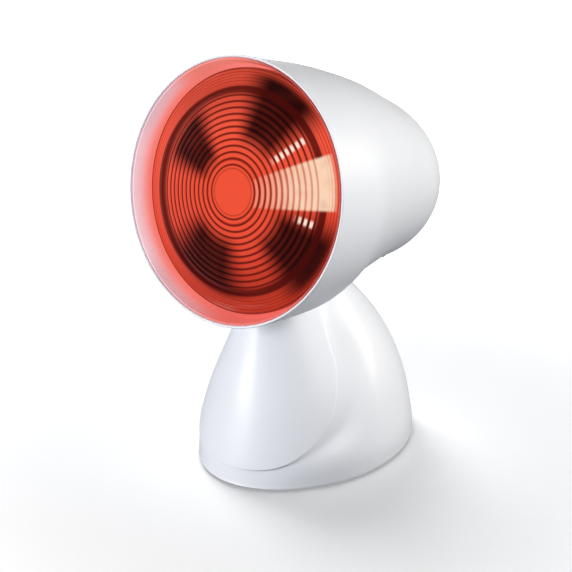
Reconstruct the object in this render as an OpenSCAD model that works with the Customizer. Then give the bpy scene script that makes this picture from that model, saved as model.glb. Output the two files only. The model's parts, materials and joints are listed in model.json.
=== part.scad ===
// Infrared heat therapy lamp: a bullet-shaped head with a reflector bulb, tilting on a
// weighted foot that holds a rocker switch and a two-pin inlet.
// Millimetres, +Z up, front of the lamp towards -Y, origin on the table under the middle.

/* [Head] */
// Outer diameter of the rim
rim_d = 134.4; // [131:0.2:140]
// Length of the head from the rim plane to the tail
head_len = 154.3; // [150:0.1:166]
// Wall of the head shell
head_wall = 2.4; // [1.8:0.1:2.8]
// How squarely the tail closes
tail_power = 2.84; // [2.6:0.02:3.4]
// Depth of the tilt axis behind the rim plane
axis_depth = 83.7; // [81:0.1:86]
// Distance of the tilt axis below the axis of the head
axis_drop = 38.2; // [37.6:0.1:39.4]
// How far the face looks up in its lowest position
rest_tilt = 13.8; // [12:0.1:20]
// Slope of the head's flat underside against its axis
floor_slope = 13.8; // [13:0.1:14.6]
// Width of the slot for the neck
slot_w = 40; // [39:0.5:44]
// Reach of the slot in front of the tilt axis
slot_front = 14.5; // [13:0.5:15.5]
// Reach of the slot behind the tilt axis
slot_back = 36; // [36:0.5:40]
// Number of cooling slots in the tail
vent_count = 5; // [3:1:7]
// Width of a cooling slot
vent_w = 2.6; // [1.5:0.1:3]

/* [Liner] */
// Depth of the liner ring
liner_len = 34; // [26:1:38]
// Thickness of the liner
liner_t = 1.0; // [0.8:0.1:1.4]
// Setback of the liner's front edge behind the rim
liner_setback = 1.2; // [0.6:0.1:2.5]

/* [Bulb] */
// Diameter of the reflector bulb at its flange
bulb_d = 122; // [116:0.5:123]
// Height of the lens dome
dome_h = 10; // [8:0.5:11]
// Thickness of the flange behind the dome
flange_t = 4; // [3:0.5:5]
// Thickness of the lens glass
lens_t = 3.2; // [2.4:0.1:3.6]
// Depth of the lens apex behind the rim plane
bulb_setback = 0.2; // [0:0.1:2]
// Radius where the pressed rings start
ring_from = 19.6; // [18:0.1:21]
// Distance between two pressed rings
ring_pitch = 3.1; // [2.8:0.1:3.4]
// Number of pressed rings
ring_count = 9; // [6:1:10]
// Height of a pressed ring
ring_h = 0.5; // [0.3:0.1:0.8]
// Wall of the reflector glass
reflector_t = 2.0; // [1.6:0.1:2.4]
// Diameter of the bulb's metal skirt
skirt_d = 39; // [38:0.5:40]
// Diameter of the screw cap
cap_d = 26.4; // [26:0.1:26.6]
// Length of the screw cap
cap_len = 23; // [21:0.5:24]

/* [Lampholder] */
// Outer diameter of the ceramic lampholder
holder_d = 39; // [37.5:0.5:40]
// Length of the round part of the lampholder
holder_len = 24; // [23:0.5:25]
// Width of the terminal end of the lampholder
holder_end_w = 22; // [20:0.5:23]
// Length of the terminal end of the lampholder
holder_end_len = 8; // [7:0.5:8.5]
// Thickness of the bracket sheet
bracket_t = 1.2; // [1:0.1:1.6]
// Half-width of the bracket across the head
bracket_reach = 35; // [34:0.5:36]
// Width of a bracket arm
bracket_arm = 16; // [14:0.5:18]
// Thickness of the heat shield sheet
shield_t = 0.8; // [0.6:0.1:1]
// Gap between the heat shield and the bulb
shield_gap = 4.6; // [4:0.1:5]

/* [Tilt hinge] */
// Height of the tilt axis over the table
axis_z = 101.5; // [100.5:0.5:104]
// Diameter of the pivot pins
pin_d = 6; // [5:0.1:6.4]
// Running clearance of a pin in its bore
pin_clear = 0.05; // [0.03:0.01:0.08]
// Gap between the two cheeks of the neck post
cheek_gap = 16; // [15:0.5:16.5]
// Thickness of a cheek
cheek_t = 4.5; // [4:0.1:4.8]
// Radius of the cheeks around the axis
cheek_r = 7.5; // [6.5:0.1:7.8]
// Thickness of a friction washer
washer_t = 0.5; // [0.4:0.1:0.8]
// Thickness of a yoke ear
ear_t = 2.5; // [2:0.1:2.8]
// Radius of a yoke ear
ear_r = 7; // [6:0.1:7.5]
// Thickness of a spring washer
spring_t = 0.7; // [0.5:0.1:0.9]
// Thickness of a pin head
pin_head_t = 2; // [1.5:0.1:2.2]

/* [Foot] */
// Width of the foot on the table
foot_w = 102.4; // [98:0.2:110]
// Length of the foot on the table
foot_l = 135.1; // [130:0.1:144]
// Height at which the foot's outline would meet the neck
foot_h = 95.5; // [94:0.1:100]
// Wall of the foot shell
foot_wall = 2.5; // [1.8:0.1:2.8]
// Height of the foot's lower edge over the table
edge_z = 1; // [0.6:0.1:1.4]
// Drop from the tilt axis to the roof of the foot
roof_drop = 6.2; // [5.8:0.1:8]
// Slope of the roof of the foot
roof_slope = 9; // [8:0.1:9.4]
// Thickness of the roof of the foot
roof_t = 2.5; // [2:0.1:3]

/* [Front panel] */
// Greatest width of the leaf-shaped panel
leaf_w = 80.4; // [74:0.2:86]
// Height of the lower tip of the leaf
leaf_z = 10.5; // [9:0.5:13]
// Height of the leaf
leaf_h = 78; // [77:0.5:84]
// Step of the leaf over the foot at its lower tip
leaf_step_low = 1.4; // [1.2:0.1:1.8]
// Step of the leaf over the foot along its sides
leaf_step = 3; // [2:0.1:3.6]
// Gap under the leaf
leaf_gap = 0.6; // [0.5:0.1:0.8]

/* [Bottom] */
// Thickness of the bottom plate
plate_t = 2.5; // [2:0.1:3]
// Gap round the bottom plate
plate_gap = 0.4; // [0.2:0.1:0.6]
// Diameter of a rubber foot
pad_d = 12; // [9:0.5:13]
// Height of a rubber foot
pad_h = 1.6; // [1.5:0.1:2.2]
// Length of the ballast weight
weight_l = 66; // [60:1:68]
// Width of the ballast weight
weight_w = 44; // [36:1:46]
// Thickness of the ballast weight
weight_t = 10; // [6:0.5:11]

/* [Back panel] */
// Width of the back panel
panel_w = 31; // [31:0.5:33]
// Height of the back panel
panel_h = 46; // [46:0.5:48]
// Thickness of the back panel
panel_t = 2; // [1.6:0.1:2.4]
// Height of the middle of the back panel
panel_z = 32; // [31:0.5:33]
// Lean of the back panel
panel_lean = 16; // [14:0.5:17]
// Radius of the back panel's corners
panel_corner = 7; // [6:0.5:8]
// Depth of the back panel in the back of the foot
pocket_in = 6.5; // [6:0.1:7]

/* [Switch] */
// Length of the rocker
rocker_l = 17; // [15:0.5:17.4]
// Width of the rocker
rocker_w = 11; // [10:0.5:11.5]
// Travel of the rocker
rocker_travel = 14; // [10:1:16]
// Depth of the switch housing behind the panel
switch_depth = 15; // [13:0.5:17]

/* [Inlet] */
// Distance between the two pins of the inlet
inlet_pitch = 8.6; // [8.4:0.1:8.8]
// Diameter of an inlet pin
inlet_pin_d = 2.4; // [2.2:0.1:2.6]
// Width of the inlet's mouth
inlet_w = 17; // [16.4:0.2:17.6]
// Height of the inlet's mouth
inlet_h = 8.4; // [8:0.2:9]
// Depth of the inlet's mouth
inlet_depth = 14; // [12:0.5:15]

/* [Fasteners and wires] */
// Diameter of the shank of a small screw
screw_d = 3; // [2.6:0.1:3.2]
// Diameter of the head of a small screw
screw_head_d = 5.6; // [5:0.1:6]
// Diameter of a wire in its sleeve
wire_d = 3; // [2.4:0.1:3.2]

/* [Hidden] */

$fn = 64;
big = 200;
cut = 0.5;
white = [0.93, 0.94, 0.96];
steel = [0.72, 0.73, 0.75];
brass = [0.80, 0.66, 0.34];
dark = [0.16, 0.16, 0.17];
clear = 0.35;

// Smooth curve through rows [position, value, value, ...], read at position t.
function row_before(rows, t, i = 0) =
    i >= len(rows) - 2 || t < rows[i + 1][0] ? i : row_before(rows, t, i + 1);
function slope_at(rows, i, c) =
    let (a = max(i - 1, 0), b = min(i + 1, len(rows) - 1))
    (rows[b][c] - rows[a][c]) / (rows[b][0] - rows[a][0]);
function smooth(rows, t, c) =
    let (i = row_before(rows, t), h = rows[i + 1][0] - rows[i][0], u = (t - rows[i][0]) / h)
    (2 * u ^ 3 - 3 * u ^ 2 + 1) * rows[i][c] + (3 * u ^ 2 - 2 * u ^ 3) * rows[i + 1][c]
    + h * (u ^ 3 - 2 * u ^ 2 + u) * slope_at(rows, i, c)
    + h * (u ^ 3 - u ^ 2) * slope_at(rows, i + 1, c);
function ease(u) = let (v = min(max(u, 0), 1)) v * v * (3 - 2 * v);

// A closed solid through rings of points, all rings having as many points.
module loft(rings) {
    n = len(rings[0]);
    m = len(rings);
    sides = [for (i = [0 : m - 2], j = [0 : n - 1], k = [0, 1])
        let (a = i * n + j, b = i * n + (j + 1) % n, c = a + n, d = b + n)
        k == 0 ? [a, d, b] : [a, c, d]];
    ends = [[for (j = [0 : n - 1]) j], [for (j = [n - 1 : -1 : 0]) (m - 1) * n + j]];
    polyhedron([for (r = rings, p = r) p], concat(sides, ends), convexity = 8);
}

// A round tube swept along a smooth curve through the points.
function unit(v) = v / norm(v);
function curve(p, t) =
    let (n = len(p) - 1, i = min(floor(t), n - 1), u = t - i,
        a = p[max(i - 1, 0)], b = p[i], c = p[i + 1], d = p[min(i + 2, n)])
    0.5 * (2 * b + (c - a) * u + (2 * a - 5 * b + 4 * c - d) * u ^ 2
    + (3 * b - a - 3 * c + d) * u ^ 3);
function carried(side, t) = unit(side - (side * t) * t);
function frames(t, side, i = 0) =
    i >= len(t) ? [] : let (s = carried(side, t[i])) concat([s], frames(t, s, i + 1));
module tube(points, d, start, end, steps = 3, sides = 8) {
    n = (len(points) - 1) * steps;
    path = [for (i = [0 : n]) curve(points, i / steps)];
    along = [for (i = [0 : n])
        i == 0 ? unit(start) : i == n ? unit(end) : unit(path[i + 1] - path[i - 1])];
    side = frames(along, unit(cross(along[0], [0.31, 0.42, 0.85])));
    loft([for (i = [0 : n])
        let (s = side[i], w = cross(along[i], s))
        [for (j = [0 : sides - 1])
            let (a = 360 * j / sides) path[i] + d / 2 * (cos(a) * s + sin(a) * w)]]);
}

// A screw whose head lies on z = 0 and whose shank runs down from it.
module screw(length, head_t = 1.8) {
    difference() {
        union() {
            cylinder(d = screw_head_d, h = head_t);
            translate([0, 0, -length]) cylinder(d = screw_d, h = length + cut);
        }
        for (a = [0, 90])
            translate([0, 0, head_t]) rotate(a) cube([3.2, 0.7, 1.6], center = true);
    }
}
module at_each(places) {
    for (p = places) translate(p) children();
}

// Places. The head hangs on the tilt axis: in its own frame z is the depth behind the
// rim plane and y points down. In the hinge frame the tilt axis is the x axis.
axis_y = 4.65;
module at_axis() {
    translate([0, axis_y, axis_z]) children();
}
module tilting() {
    at_axis() rotate([floor_slope - rest_tilt, 0, 0]) children();
}
module in_head() {
    tilting() rotate([-90 - floor_slope, 0, 0]) translate([0, -axis_drop, -axis_depth]) children();
}
function hinge_point(p) =
    let (y = p[1] - axis_drop, z = p[2] - axis_depth, a = -90 - floor_slope)
    [p[0], y * cos(a) - z * sin(a), y * sin(a) + z * cos(a)];

// Head shell: round sections whose centres rise a little towards the tail.
// Shares of the length, of the rim radius and of the rim radius.
head_rows = [[0, 1, 0], [0.13, 0.975, 0], [0.26, 0.946, 0.012], [0.39, 0.875, 0.058],
    [0.52, 0.833, 0.076], [0.65, 0.811, 0.070], [0.78, 0.845, 0.048], [0.91, 0.871, 0.030],
    [1, 0.88, 0.018]];
head_sides = 48;
head_rings = 22;
function head_r(s, inset) =
    (rim_d / 2 * smooth(head_rows, s / head_len, 1) - inset)
    * sqrt(max(1 - pow(max(s, 0) / (head_len - inset), tail_power), 0));
function head_lift(s) = rim_d / 2 * smooth(head_rows, s / head_len, 2);
function head_ring(s, r) = [for (j = [0 : head_sides - 1])
    let (a = 360 * j / head_sides) [r * cos(a), r * sin(a) - head_lift(s), s]];
function head_skin(inset) = [for (i = [0 : head_rings])
    let (s = (head_len - inset) * sin(88.6 * i / head_rings)) head_ring(s, head_r(s, inset))];
function reversed(list) = [for (i = [len(list) - 1 : -1 : 0]) list[i]];

// Yoke feet and the screws that hold them from below, in the hinge frame.
foot_x = 24;
yoke_places = [for (x = [-1, 1], y = [-10, 19]) [x * foot_x, y, 0]];
yoke_foot_z = 5.5;
yoke_foot_t = 2.5;
yoke_seat_z = 2.8;
ear_x = cheek_gap / 2 + cheek_t + washer_t;
boss_r = 4.2;
boss_reach = 30;

// Lampholder and bulb, by depth behind the rim plane.
flange_s = bulb_setback + dome_h;
neck_s = bulb_setback + 85;
cap_s = bulb_setback + 109;
glass_neck = 10;
cap_end = cap_s + cap_len;
tip_s = cap_end + 4;
holder_s = cap_s + 2;
holder_back = holder_s + holder_len;
bracket_s = holder_s + 7;
bracket_boss_x = bracket_reach - 4.5;
bracket_boss_y = -2.6;
vent_y = 22;
vent_s = 134;
vent_turn = 58;
vent_cut = [vent_w, 20, 24];
module vents() {
    for (i = [0 : vent_count - 1])
        translate([(i - (vent_count - 1) / 2) * vent_w * 2, vent_y, vent_s])
            rotate([vent_turn, 0, 0]) translate([-vent_w / 2, -13, -12]) cube(vent_cut);
}
module head_shell() {
    color(white) difference() {
        union() {
            in_head() loft(concat(reversed(head_skin(head_wall)), head_skin(0)));
            intersection() {
                in_head() loft(head_skin(head_wall / 2));
                union() {
                    tilting() at_each(yoke_places)
                        translate([0, 0, -8]) cylinder(r = boss_r, h = 8 + yoke_foot_z);
                    in_head() for (x = [-1, 1])
                        translate([x * bracket_boss_x, bracket_boss_y, bracket_s + bracket_t])
                            cylinder(r = boss_r - 0.4, h = boss_reach);
                }
            }
        }
        tilting() translate([-slot_w / 2, -slot_front, -20])
            cube([slot_w, slot_front + slot_back, 26]);
        tilting() at_each(yoke_places) {
            translate([0, 0, -12]) cylinder(d = screw_head_d + 0.6, h = 12 + yoke_seat_z);
            translate([0, 0, -12]) cylinder(d = screw_d + 0.4, h = 24);
        }
        in_head() for (x = [-1, 1])
            translate([x * bracket_boss_x, bracket_boss_y, bracket_s])
                cylinder(d = screw_d, h = 9 + bracket_t);
        in_head() vents();
    }
}

// Liner: a thin ring inside the rim with a lip turned in at its back.
module shade_liner() {
    back = liner_setback + liner_len;
    depths = [for (i = [0 : 6]) liner_setback + liner_len * i / 6];
    outer = [for (s = depths) [head_r(s, head_wall) - head_lift(s) - clear, s]];
    inner = [for (i = [6 : -1 : 0])
        [outer[i][0] - liner_t, depths[i] - (i == 6 ? liner_t : 0)]];
    lip = [[outer[6][0] - 5, back], [outer[6][0] - 5, back - liner_t]];
    color([0.96, 0.93, 0.93]) in_head() rotate_extrude() polygon(concat(outer, lip, inner));
}

// Bulb.
bulb_r = bulb_d / 2;
dome_edge = bulb_r - 3;
dome_r = (dome_edge ^ 2 + dome_h ^ 2) / (2 * dome_h);
ring_to = ring_from + ring_count * ring_pitch;
function dome(r) = bulb_setback + dome_r - sqrt(dome_r ^ 2 - r ^ 2);
function ripple(r) =
    r > ring_from && r < ring_to ? ring_h * (0.5 - 0.5 * cos(360 * (r - ring_from) / ring_pitch)) : 0;
module bulb_lens() {
    step = ring_pitch / 4;
    plain = [for (i = [0 : 3]) [ring_from * i / 4, dome(ring_from * i / 4)]];
    ringed = [for (i = [0 : ring_count * 4])
        let (r = ring_from + i * step) [r, dome(r) + ripple(r)]];
    rim = [[dome_edge, flange_s], [bulb_r, flange_s], [bulb_r, flange_s + flange_t]];
    hollow = dome_edge - 1.5;
    back = [for (i = [6 : -1 : 0])
        let (r = hollow * i / 6) [r, dome(r * dome_edge / hollow) + lens_t]];
    color([0.75, 0.12, 0.08]) in_head() rotate_extrude()
        polygon(concat(plain, ringed, rim, [[hollow, flange_s + flange_t]], back));
}
reflector_rows = [[0, 1, 0], [0.085, 0.934, 0], [0.225, 0.877, 0], [0.507, 0.738, 0],
    [0.789, 0.541, 0], [1, 0.344, 0]];
reflector_s = flange_s + flange_t;
function reflector_r(s) =
    bulb_r * smooth(reflector_rows, (s - reflector_s) / (neck_s - reflector_s), 1);
module bulb_reflector() {
    n = 14;
    depths = [for (i = [0 : n]) reflector_s + (neck_s - reflector_s) * i / n];
    neck_r = skirt_d / 2 - 1.2;
    outer = [for (s = depths) [reflector_r(s), s]];
    inner = [for (i = [n : -1 : 0]) [reflector_r(depths[i]) - reflector_t * 1.3, depths[i]]];
    neck = [[neck_r, neck_s], [neck_r, neck_s + glass_neck], [neck_r - reflector_t, neck_s + glass_neck],
        [neck_r - reflector_t, neck_s]];
    color([0.82, 0.80, 0.78]) in_head() rotate_extrude() polygon(concat(outer, neck, inner));
}
module bulb_skirt() {
    r = skirt_d / 2;
    t = 0.9;
    color(steel) in_head() rotate_extrude()
        polygon([[r, neck_s + 0.2], [r, cap_s - 7], [cap_d / 2 + 1, cap_s], [cap_d / 2 - 2, cap_s],
            [cap_d / 2 - 2, cap_s - t], [cap_d / 2, cap_s - t], [r - t, cap_s - 7.4],
            [r - t, neck_s + 0.2]]);
}
module bulb_cap() {
    n = 6;
    pitch = cap_len / n;
    r = cap_d / 2;
    thread = [for (i = [0 : 4 * n])
        [r - 0.55 + 0.55 * cos(90 * i), cap_s + pitch * i / 4]];
    color(steel) in_head() rotate_extrude()
        polygon(concat(thread, [[r - 2.2, cap_end], [r - 2.2, cap_s]]));
}
module bulb_insulator() {
    color(dark) in_head() rotate_extrude()
        polygon([[0, cap_end], [cap_d / 2 - 0.4, cap_end], [cap_d / 2 - 4, cap_end + 2.4],
            [0, cap_end + 2.4]]);
}
module bulb_contact() {
    color(brass) in_head() translate([0, 0, cap_end + 2.4]) cylinder(r1 = 5, r2 = 3.4, h = 1.6);
}
filament_s = 52;
module filament() {
    color([0.95, 0.80, 0.50]) in_head() translate([0, 0, filament_s])
        rotate([0, 0, 15]) rotate_extrude(angle = 150) translate([11, 0]) circle(d = 1.4, $fn = 24);
}
module filament_stem() {
    color([0.85, 0.85, 0.88]) in_head() {
        translate([0, 0, filament_s + 12]) cylinder(r = 3, h = cap_s - filament_s - 12);
        translate([0, 0, cap_s - 4]) cylinder(r = cap_d / 2 - 2.5, h = 4);
        for (a = [15, 165])
            rotate(a) translate([11, 0, filament_s + 0.9]) cylinder(d = 0.9, h = 23);
        for (a = [15, 165])
            rotate(a) translate([0, -0.6, filament_s + 22]) cube([11, 1.2, 1.6]);
    }
}

// Lampholder.
sleeve_gap = 0.15;
sleeve_t = 0.7;
sleeve_r = cap_d / 2 + sleeve_gap;
holder_floor = tip_s + 2.6;
holder_end_s = holder_back + holder_end_len;
module lampholder_body() {
    color([0.95, 0.94, 0.90]) in_head() difference() {
        union() {
            translate([0, 0, holder_s]) cylinder(d = holder_d, h = holder_len);
            translate([0, 0, bracket_s - 2]) cylinder(d = holder_d + 7, h = 2);
            translate([-holder_end_w / 2, -holder_end_w / 2, holder_back - cut])
                cube([holder_end_w, holder_end_w, holder_end_len + cut]);
        }
        translate([0, 0, holder_s - cut])
            cylinder(r = sleeve_r + sleeve_t + 0.1, h = holder_floor - holder_s + cut);
        for (y = [-1, 1])
            translate([0, y * (holder_d / 2 + 2), bracket_s - 3]) cylinder(d = 2, h = 4);
    }
}
module lampholder_sleeve() {
    color(brass) in_head() translate([0, 0, holder_s + 1]) difference() {
        cylinder(r = sleeve_r + sleeve_t, h = cap_len - 2);
        translate([0, 0, -cut]) cylinder(r = sleeve_r, h = cap_len);
    }
}
module lampholder_contact() {
    color(brass) in_head() {
        translate([-3.5, -3, holder_floor - 0.8]) cube([10, 6, 0.8]);
        translate([-3.5, -3, tip_s]) cube([7, 6, 0.6]);
        translate([-3.5, -3, tip_s]) cube([0.8, 6, holder_floor - tip_s]);
    }
}
module holder_bracket() {
    arm = bracket_arm / 2;
    color(steel) in_head() difference() {
        translate([0, 0, bracket_s]) linear_extrude(bracket_t) {
            circle(d = holder_d + 12);
            translate([-bracket_reach, -arm - 1]) square([2 * bracket_reach, bracket_arm]);
            translate([-arm, -35]) square([bracket_arm, 66]);
        }
        translate([0, 0, bracket_s - cut]) cylinder(d = holder_d + 2 * clear, h = 4);
        for (x = [-1, 1])
            translate([x * bracket_boss_x, bracket_boss_y, bracket_s - cut])
                cylinder(d = screw_d + 0.4, h = 4);
        for (y = [-1, 1])
            translate([0, y * (holder_d / 2 + 2), bracket_s - cut]) cylinder(d = 2, h = 4);
        translate([0, shield_foot_y, bracket_s - cut]) cylinder(d = 2, h = 4);
    }
}
module small_screw(length) {
    cylinder(d = 3.4, h = 1.2);
    translate([0, 0, -length]) cylinder(d = 1.9, h = length + cut);
}
shield_foot_y = 28.2;
module holder_screws() {
    color(steel) in_head() {
        for (y = [-1, 1])
            translate([0, y * (holder_d / 2 + 2), bracket_s - 2]) rotate([180, 0, 0])
                small_screw(2 + bracket_t);
        translate([0, shield_foot_y, bracket_s - shield_t]) rotate([180, 0, 0])
            small_screw(shield_t + bracket_t);
    }
}
module bracket_screws() {
    color(steel) in_head() for (x = [-1, 1])
        translate([x * bracket_boss_x, bracket_boss_y, bracket_s]) rotate([180, 0, 0]) screw(9);
}
// Heat shield: a bent sheet between the bulb's underside and the tilt hinge.
shield_from = bulb_setback + 78;
shield_knee = bulb_setback + 87;
shield_r1 = reflector_r(shield_from) + shield_gap;
shield_r2 = skirt_d / 2 + shield_gap;
shield_turn = 78;
module heat_shield() {
    color([0.80, 0.81, 0.83]) in_head() difference() {
        union() {
            rotate([0, 0, 90 - shield_turn / 2]) rotate_extrude(angle = shield_turn)
                polygon([[shield_r1, shield_from], [shield_r1 + shield_t, shield_from],
                    [shield_r2 + shield_t, shield_knee], [shield_r2 + shield_t, bracket_s],
                    [shield_r2, bracket_s], [shield_r2, shield_knee]]);
            translate([-4, shield_r2 + shield_t / 2, bracket_s - shield_t]) cube([8, 6.5, shield_t]);
        }
        translate([0, shield_foot_y, bracket_s - 3]) cylinder(d = 2, h = 4);
    }
}
module thermal_cutout() {
    color(dark) in_head() translate([0, -29, bracket_s + bracket_t]) {
        cylinder(d = 11, h = 5);
        for (x = [-1, 1]) translate([x * 3 - 0.4, -2, 5]) cube([0.8, 4, 3]);
    }
}
// The two leads from the hinge to the lampholder's terminals, as one sleeved wire.
lead_x = 6;
lead_end = hinge_point([lead_x, holder_end_w / 2, holder_back + holder_end_len / 2]);
lead_way = hinge_point([lead_x, holder_end_w / 2 + 6, holder_back + holder_end_len / 2]);
module head_wires() {
    points = [[0, 0, 0], [2.2, 0, 0], [4.6, 1.2, 1], [5.4, 5, 2.8], [5.6, 12, 4.2], [9, 22, 4.5],
        [12.6, 32, 3.5], [13, 45, 3.6], [10, 53, 4.4], lead_way, lead_end];
    color(dark) tilting() tube(points, wire_d, [1, 0, 0], lead_end - lead_way);
}

// Yoke: two ears on rails, joined in front of the neck by a bar.
module tilt_yoke() {
    front = -21.5;
    bar_z = -1.8;
    rail_z = yoke_foot_z + yoke_foot_t;
    color(steel) tilting() difference() {
        union() {
            for (side = [0, 1]) mirror([side, 0, 0]) {
                translate([ear_x, 0, 0]) rotate([90, 0, 90]) linear_extrude(ear_t) {
                    circle(r = ear_r);
                    polygon([[front, bar_z], [-3, bar_z], [-3, 2.4], [26, 2.4], [26, rail_z],
                        [14, rail_z], [12, 5], [-4, 5], [-5.5, rail_z], [-15, rail_z], [front, 1.4]]);
                }
                for (p = [0, 1])
                    translate([ear_x, yoke_places[p][1] - 4.5, yoke_foot_z])
                        cube([foot_x + 3.5 - ear_x, 9, yoke_foot_t]);
            }
            translate([-ear_x - cut, front, bar_z]) cube([2 * ear_x + 2 * cut, 5, 3.2]);
        }
        rotate([0, 90, 0]) cylinder(d = pin_d + 2 * pin_clear, h = big, center = true);
        at_each(yoke_places) cylinder(d = screw_d, h = 20);
    }
}
module yoke_screws() {
    color(steel) tilting() at_each(yoke_places)
        translate([0, 0, yoke_seat_z]) rotate([180, 0, 0]) screw(yoke_foot_z + yoke_foot_t - yoke_seat_z);
}

// Foot: oval sections, given by shares of the height, the half-width and the half-length.
foot_y = -8.1;
foot_rows = [[0, 1, 1, 1], [0.147, 1.010, 0.962, 0.954], [0.419, 0.885, 0.859, 0.874],
    [0.691, 0.650, 0.740, 0.692], [1, 0.318, 0.626, 0.321]];
foot_sides = 60;
function half_w(z) = foot_w / 2 * smooth(foot_rows, z / foot_h, 1);
function front_y(z) = foot_y - foot_l / 2 * smooth(foot_rows, z / foot_h, 2);
function back_y(z) = foot_y + foot_l / 2 * smooth(foot_rows, z / foot_h, 3);
// Outline of the leaf: shares of its height and of its half-width.
leaf_rows = [[0, 0], [0.012, 0.395], [0.045, 0.669], [0.109, 0.843], [0.199, 0.958],
    [0.301, 1], [0.429, 0.978], [0.608, 0.871], [0.749, 0.746], [1, 0.51]];
function leaf_turn(z) =
    z <= leaf_z ? 0
    : asin(min(leaf_w / 2 * smooth(leaf_rows, min((z - leaf_z) / leaf_h, 1), 1) / half_w(z), 0.98));
// The foot's skin is set in under and beside the leaf.
fold_turn = 30;
toe_turn = 42;
leaf_margin = 4;
function set_in(turn, z) =
    (leaf_step_low + (leaf_step - leaf_step_low) * ease((z - 12) / 16))
    * (1 - ease((abs(turn) - max(leaf_turn(z) + leaf_margin, toe_turn)) / fold_turn));
function foot_point(turn, z, inset) =
    let (mid = (front_y(z) + back_y(z)) / 2, half = (back_y(z) - front_y(z)) / 2)
    [(half_w(z) - inset) * sin(turn), mid - (half - inset) * cos(turn), z];
// The roof slopes, so each ring of the skin rises a little towards the back.
function roof_z(y) = axis_z - roof_drop / cos(roof_slope) + (y - axis_y) * tan(roof_slope);
function skin_point(turn, share, inset, drop) =
    let (a = foot_point(turn, share * roof_z(foot_y), inset),
        b = foot_point(turn, edge_z + share * (roof_z(a[1]) - drop - edge_z), inset),
        z = edge_z + share * (roof_z(b[1]) - drop - edge_z))
    foot_point(turn, z, inset + set_in(turn, z));
foot_levels = [0, 0.05, 0.1, 0.14, 0.19, 0.25, 0.32, 0.4, 0.48, 0.57, 0.66, 0.74, 0.82, 0.88, 0.94, 1];
function foot_skin(inset, drop) = [for (share = foot_levels) [for (j = [0 : foot_sides - 1])
    let (turn = 360 * j / foot_sides, near = turn > 180 ? turn - 360 : turn,
        p = skin_point(near, share, inset, drop))
    share == 1 ? [p[0], p[1], roof_z(p[1]) - drop] : p]];
module above_roof(drop) {
    at_axis() rotate([roof_slope, 0, 0]) translate([-big / 2, -big / 2, -roof_drop - drop])
        cube([big, big, big]);
}

// Back panel and what sits in it: z points out of the panel, y up along it.
module on_back(z = 0) {
    translate([0, back_y(panel_z) - pocket_in, panel_z]) rotate([panel_lean, 0, 0])
        rotate([90, 0, 180]) translate([0, 0, z]) children();
}
switch_y = 10.5;
inlet_y = -14;
frame_t = 2.2;
housing_w = rocker_w + 3.4;
housing_l = rocker_l + 3.2;
flange_out = 1.2;
switch_flange = 1.4;
inlet_flange = 1.6;
inlet_out = 3.4;
between_y = (switch_y - housing_l / 2 - flange_out + inlet_y + inlet_h / 2 + inlet_out) / 2;
panel_screw_places = [for (x = [-1, 1], y = [panel_h / 2 - 4.4, between_y])
    [x * (panel_w / 2 - 3.3), y, 0]];
module panel_form(grow, h) {
    corner = panel_corner + grow;
    x = panel_w / 2 + grow;
    y = panel_h / 2 + grow;
    linear_extrude(h) {
        translate([-x, corner - y]) square([2 * x, 2 * (y - corner)]);
        translate([corner - x, -y]) square([2 * (x - corner), 2 * y]);
        for (i = [-1, 1], j = [-1, 1]) translate([i * (x - corner), j * (y - corner)]) circle(r = corner);
    }
}
module window(w, h, mid) {
    on_back(-panel_t - 5) translate([-w / 2, mid - h / 2, 0]) cube([w, h, 8]);
}

// Wiring of the foot: the ends of the tabs, and the block in front of the inlet's tabs.
function panel_point(x, y, z) =
    let (b = y * cos(panel_lean) + z * sin(panel_lean), o = z * cos(panel_lean) - y * sin(panel_lean))
    [-x, back_y(panel_z) - pocket_in + o, panel_z + b];
function inlet_tab(side) = panel_point(side * inlet_pitch / 2, inlet_y, -inlet_depth - 6);
function switch_tab(side) = panel_point(0, switch_y + side * 5, -switch_depth - 7);
block_w = 30;
block_l = 10;
block_h = 11;
block_back = inlet_tab(1)[1] - 7;
block_mid = block_back - block_l / 2;

// Screw bosses of the bottom plate and the feet between them.
boss_places = [[-28, -47, 0], [28, -47, 0], [-26, 36, 0], [26, 36, 0]];
pad_places = [[-34, -38, 0], [34, -38, 0], [-34, 20, 0], [34, 20, 0]];
weight_y = block_back - block_l - 1 - weight_l / 2;
weight_places = [for (x = [-14, 14], y = [-18, 26]) [x, weight_y + y, 0]];
plate_z = pad_h;
plate_top = plate_z + plate_t;
base_boss_r = 4.5;
base_boss_reach = 50;

// Neck post: two cheeks on a flange under the roof.
flange_top = -17;
post_flange_t = 4;
post_places = [[-8, -13.5, 0], [8, -13.5, 0], [0, 12.2, 0]];
post_boss_r = 3.2;
cheek_out = cheek_gap / 2 + cheek_t;

module base_shell() {
    color(white) difference() {
        union() {
            loft(concat(reversed(foot_skin(foot_wall, roof_t)), foot_skin(0, 0)));
            intersection() {
                loft(foot_skin(foot_wall / 2, roof_t / 2));
                union() {
                    at_each(boss_places)
                        translate([0, 0, plate_top]) cylinder(r = base_boss_r, h = base_boss_reach);
                    at_axis() at_each(post_places)
                        translate([0, 0, flange_top]) cylinder(r = post_boss_r, h = 14);
                    on_back(-panel_t - frame_t) panel_form(frame_t, 30);
                }
            }
        }
        at_axis() translate([-cheek_out - clear, -cheek_r - clear, -30])
            cube([2 * (cheek_out + clear), 2 * (cheek_r + clear), 40]);
        on_back(-panel_t) panel_form(plate_gap / 2, 30);
        window(housing_w + 2, housing_l + 2, switch_y);
        window(inlet_w + 5, inlet_h + 5, inlet_y);
        on_back(-panel_t - frame_t - cut) at_each(panel_screw_places) cylinder(d = 1.9, h = 4);
        at_each(boss_places) cylinder(d = screw_d, h = plate_top + 10);
        at_axis() at_each(post_places) translate([0, 0, flange_top - 1]) cylinder(d = screw_d, h = 6.5);
    }
}

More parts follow.
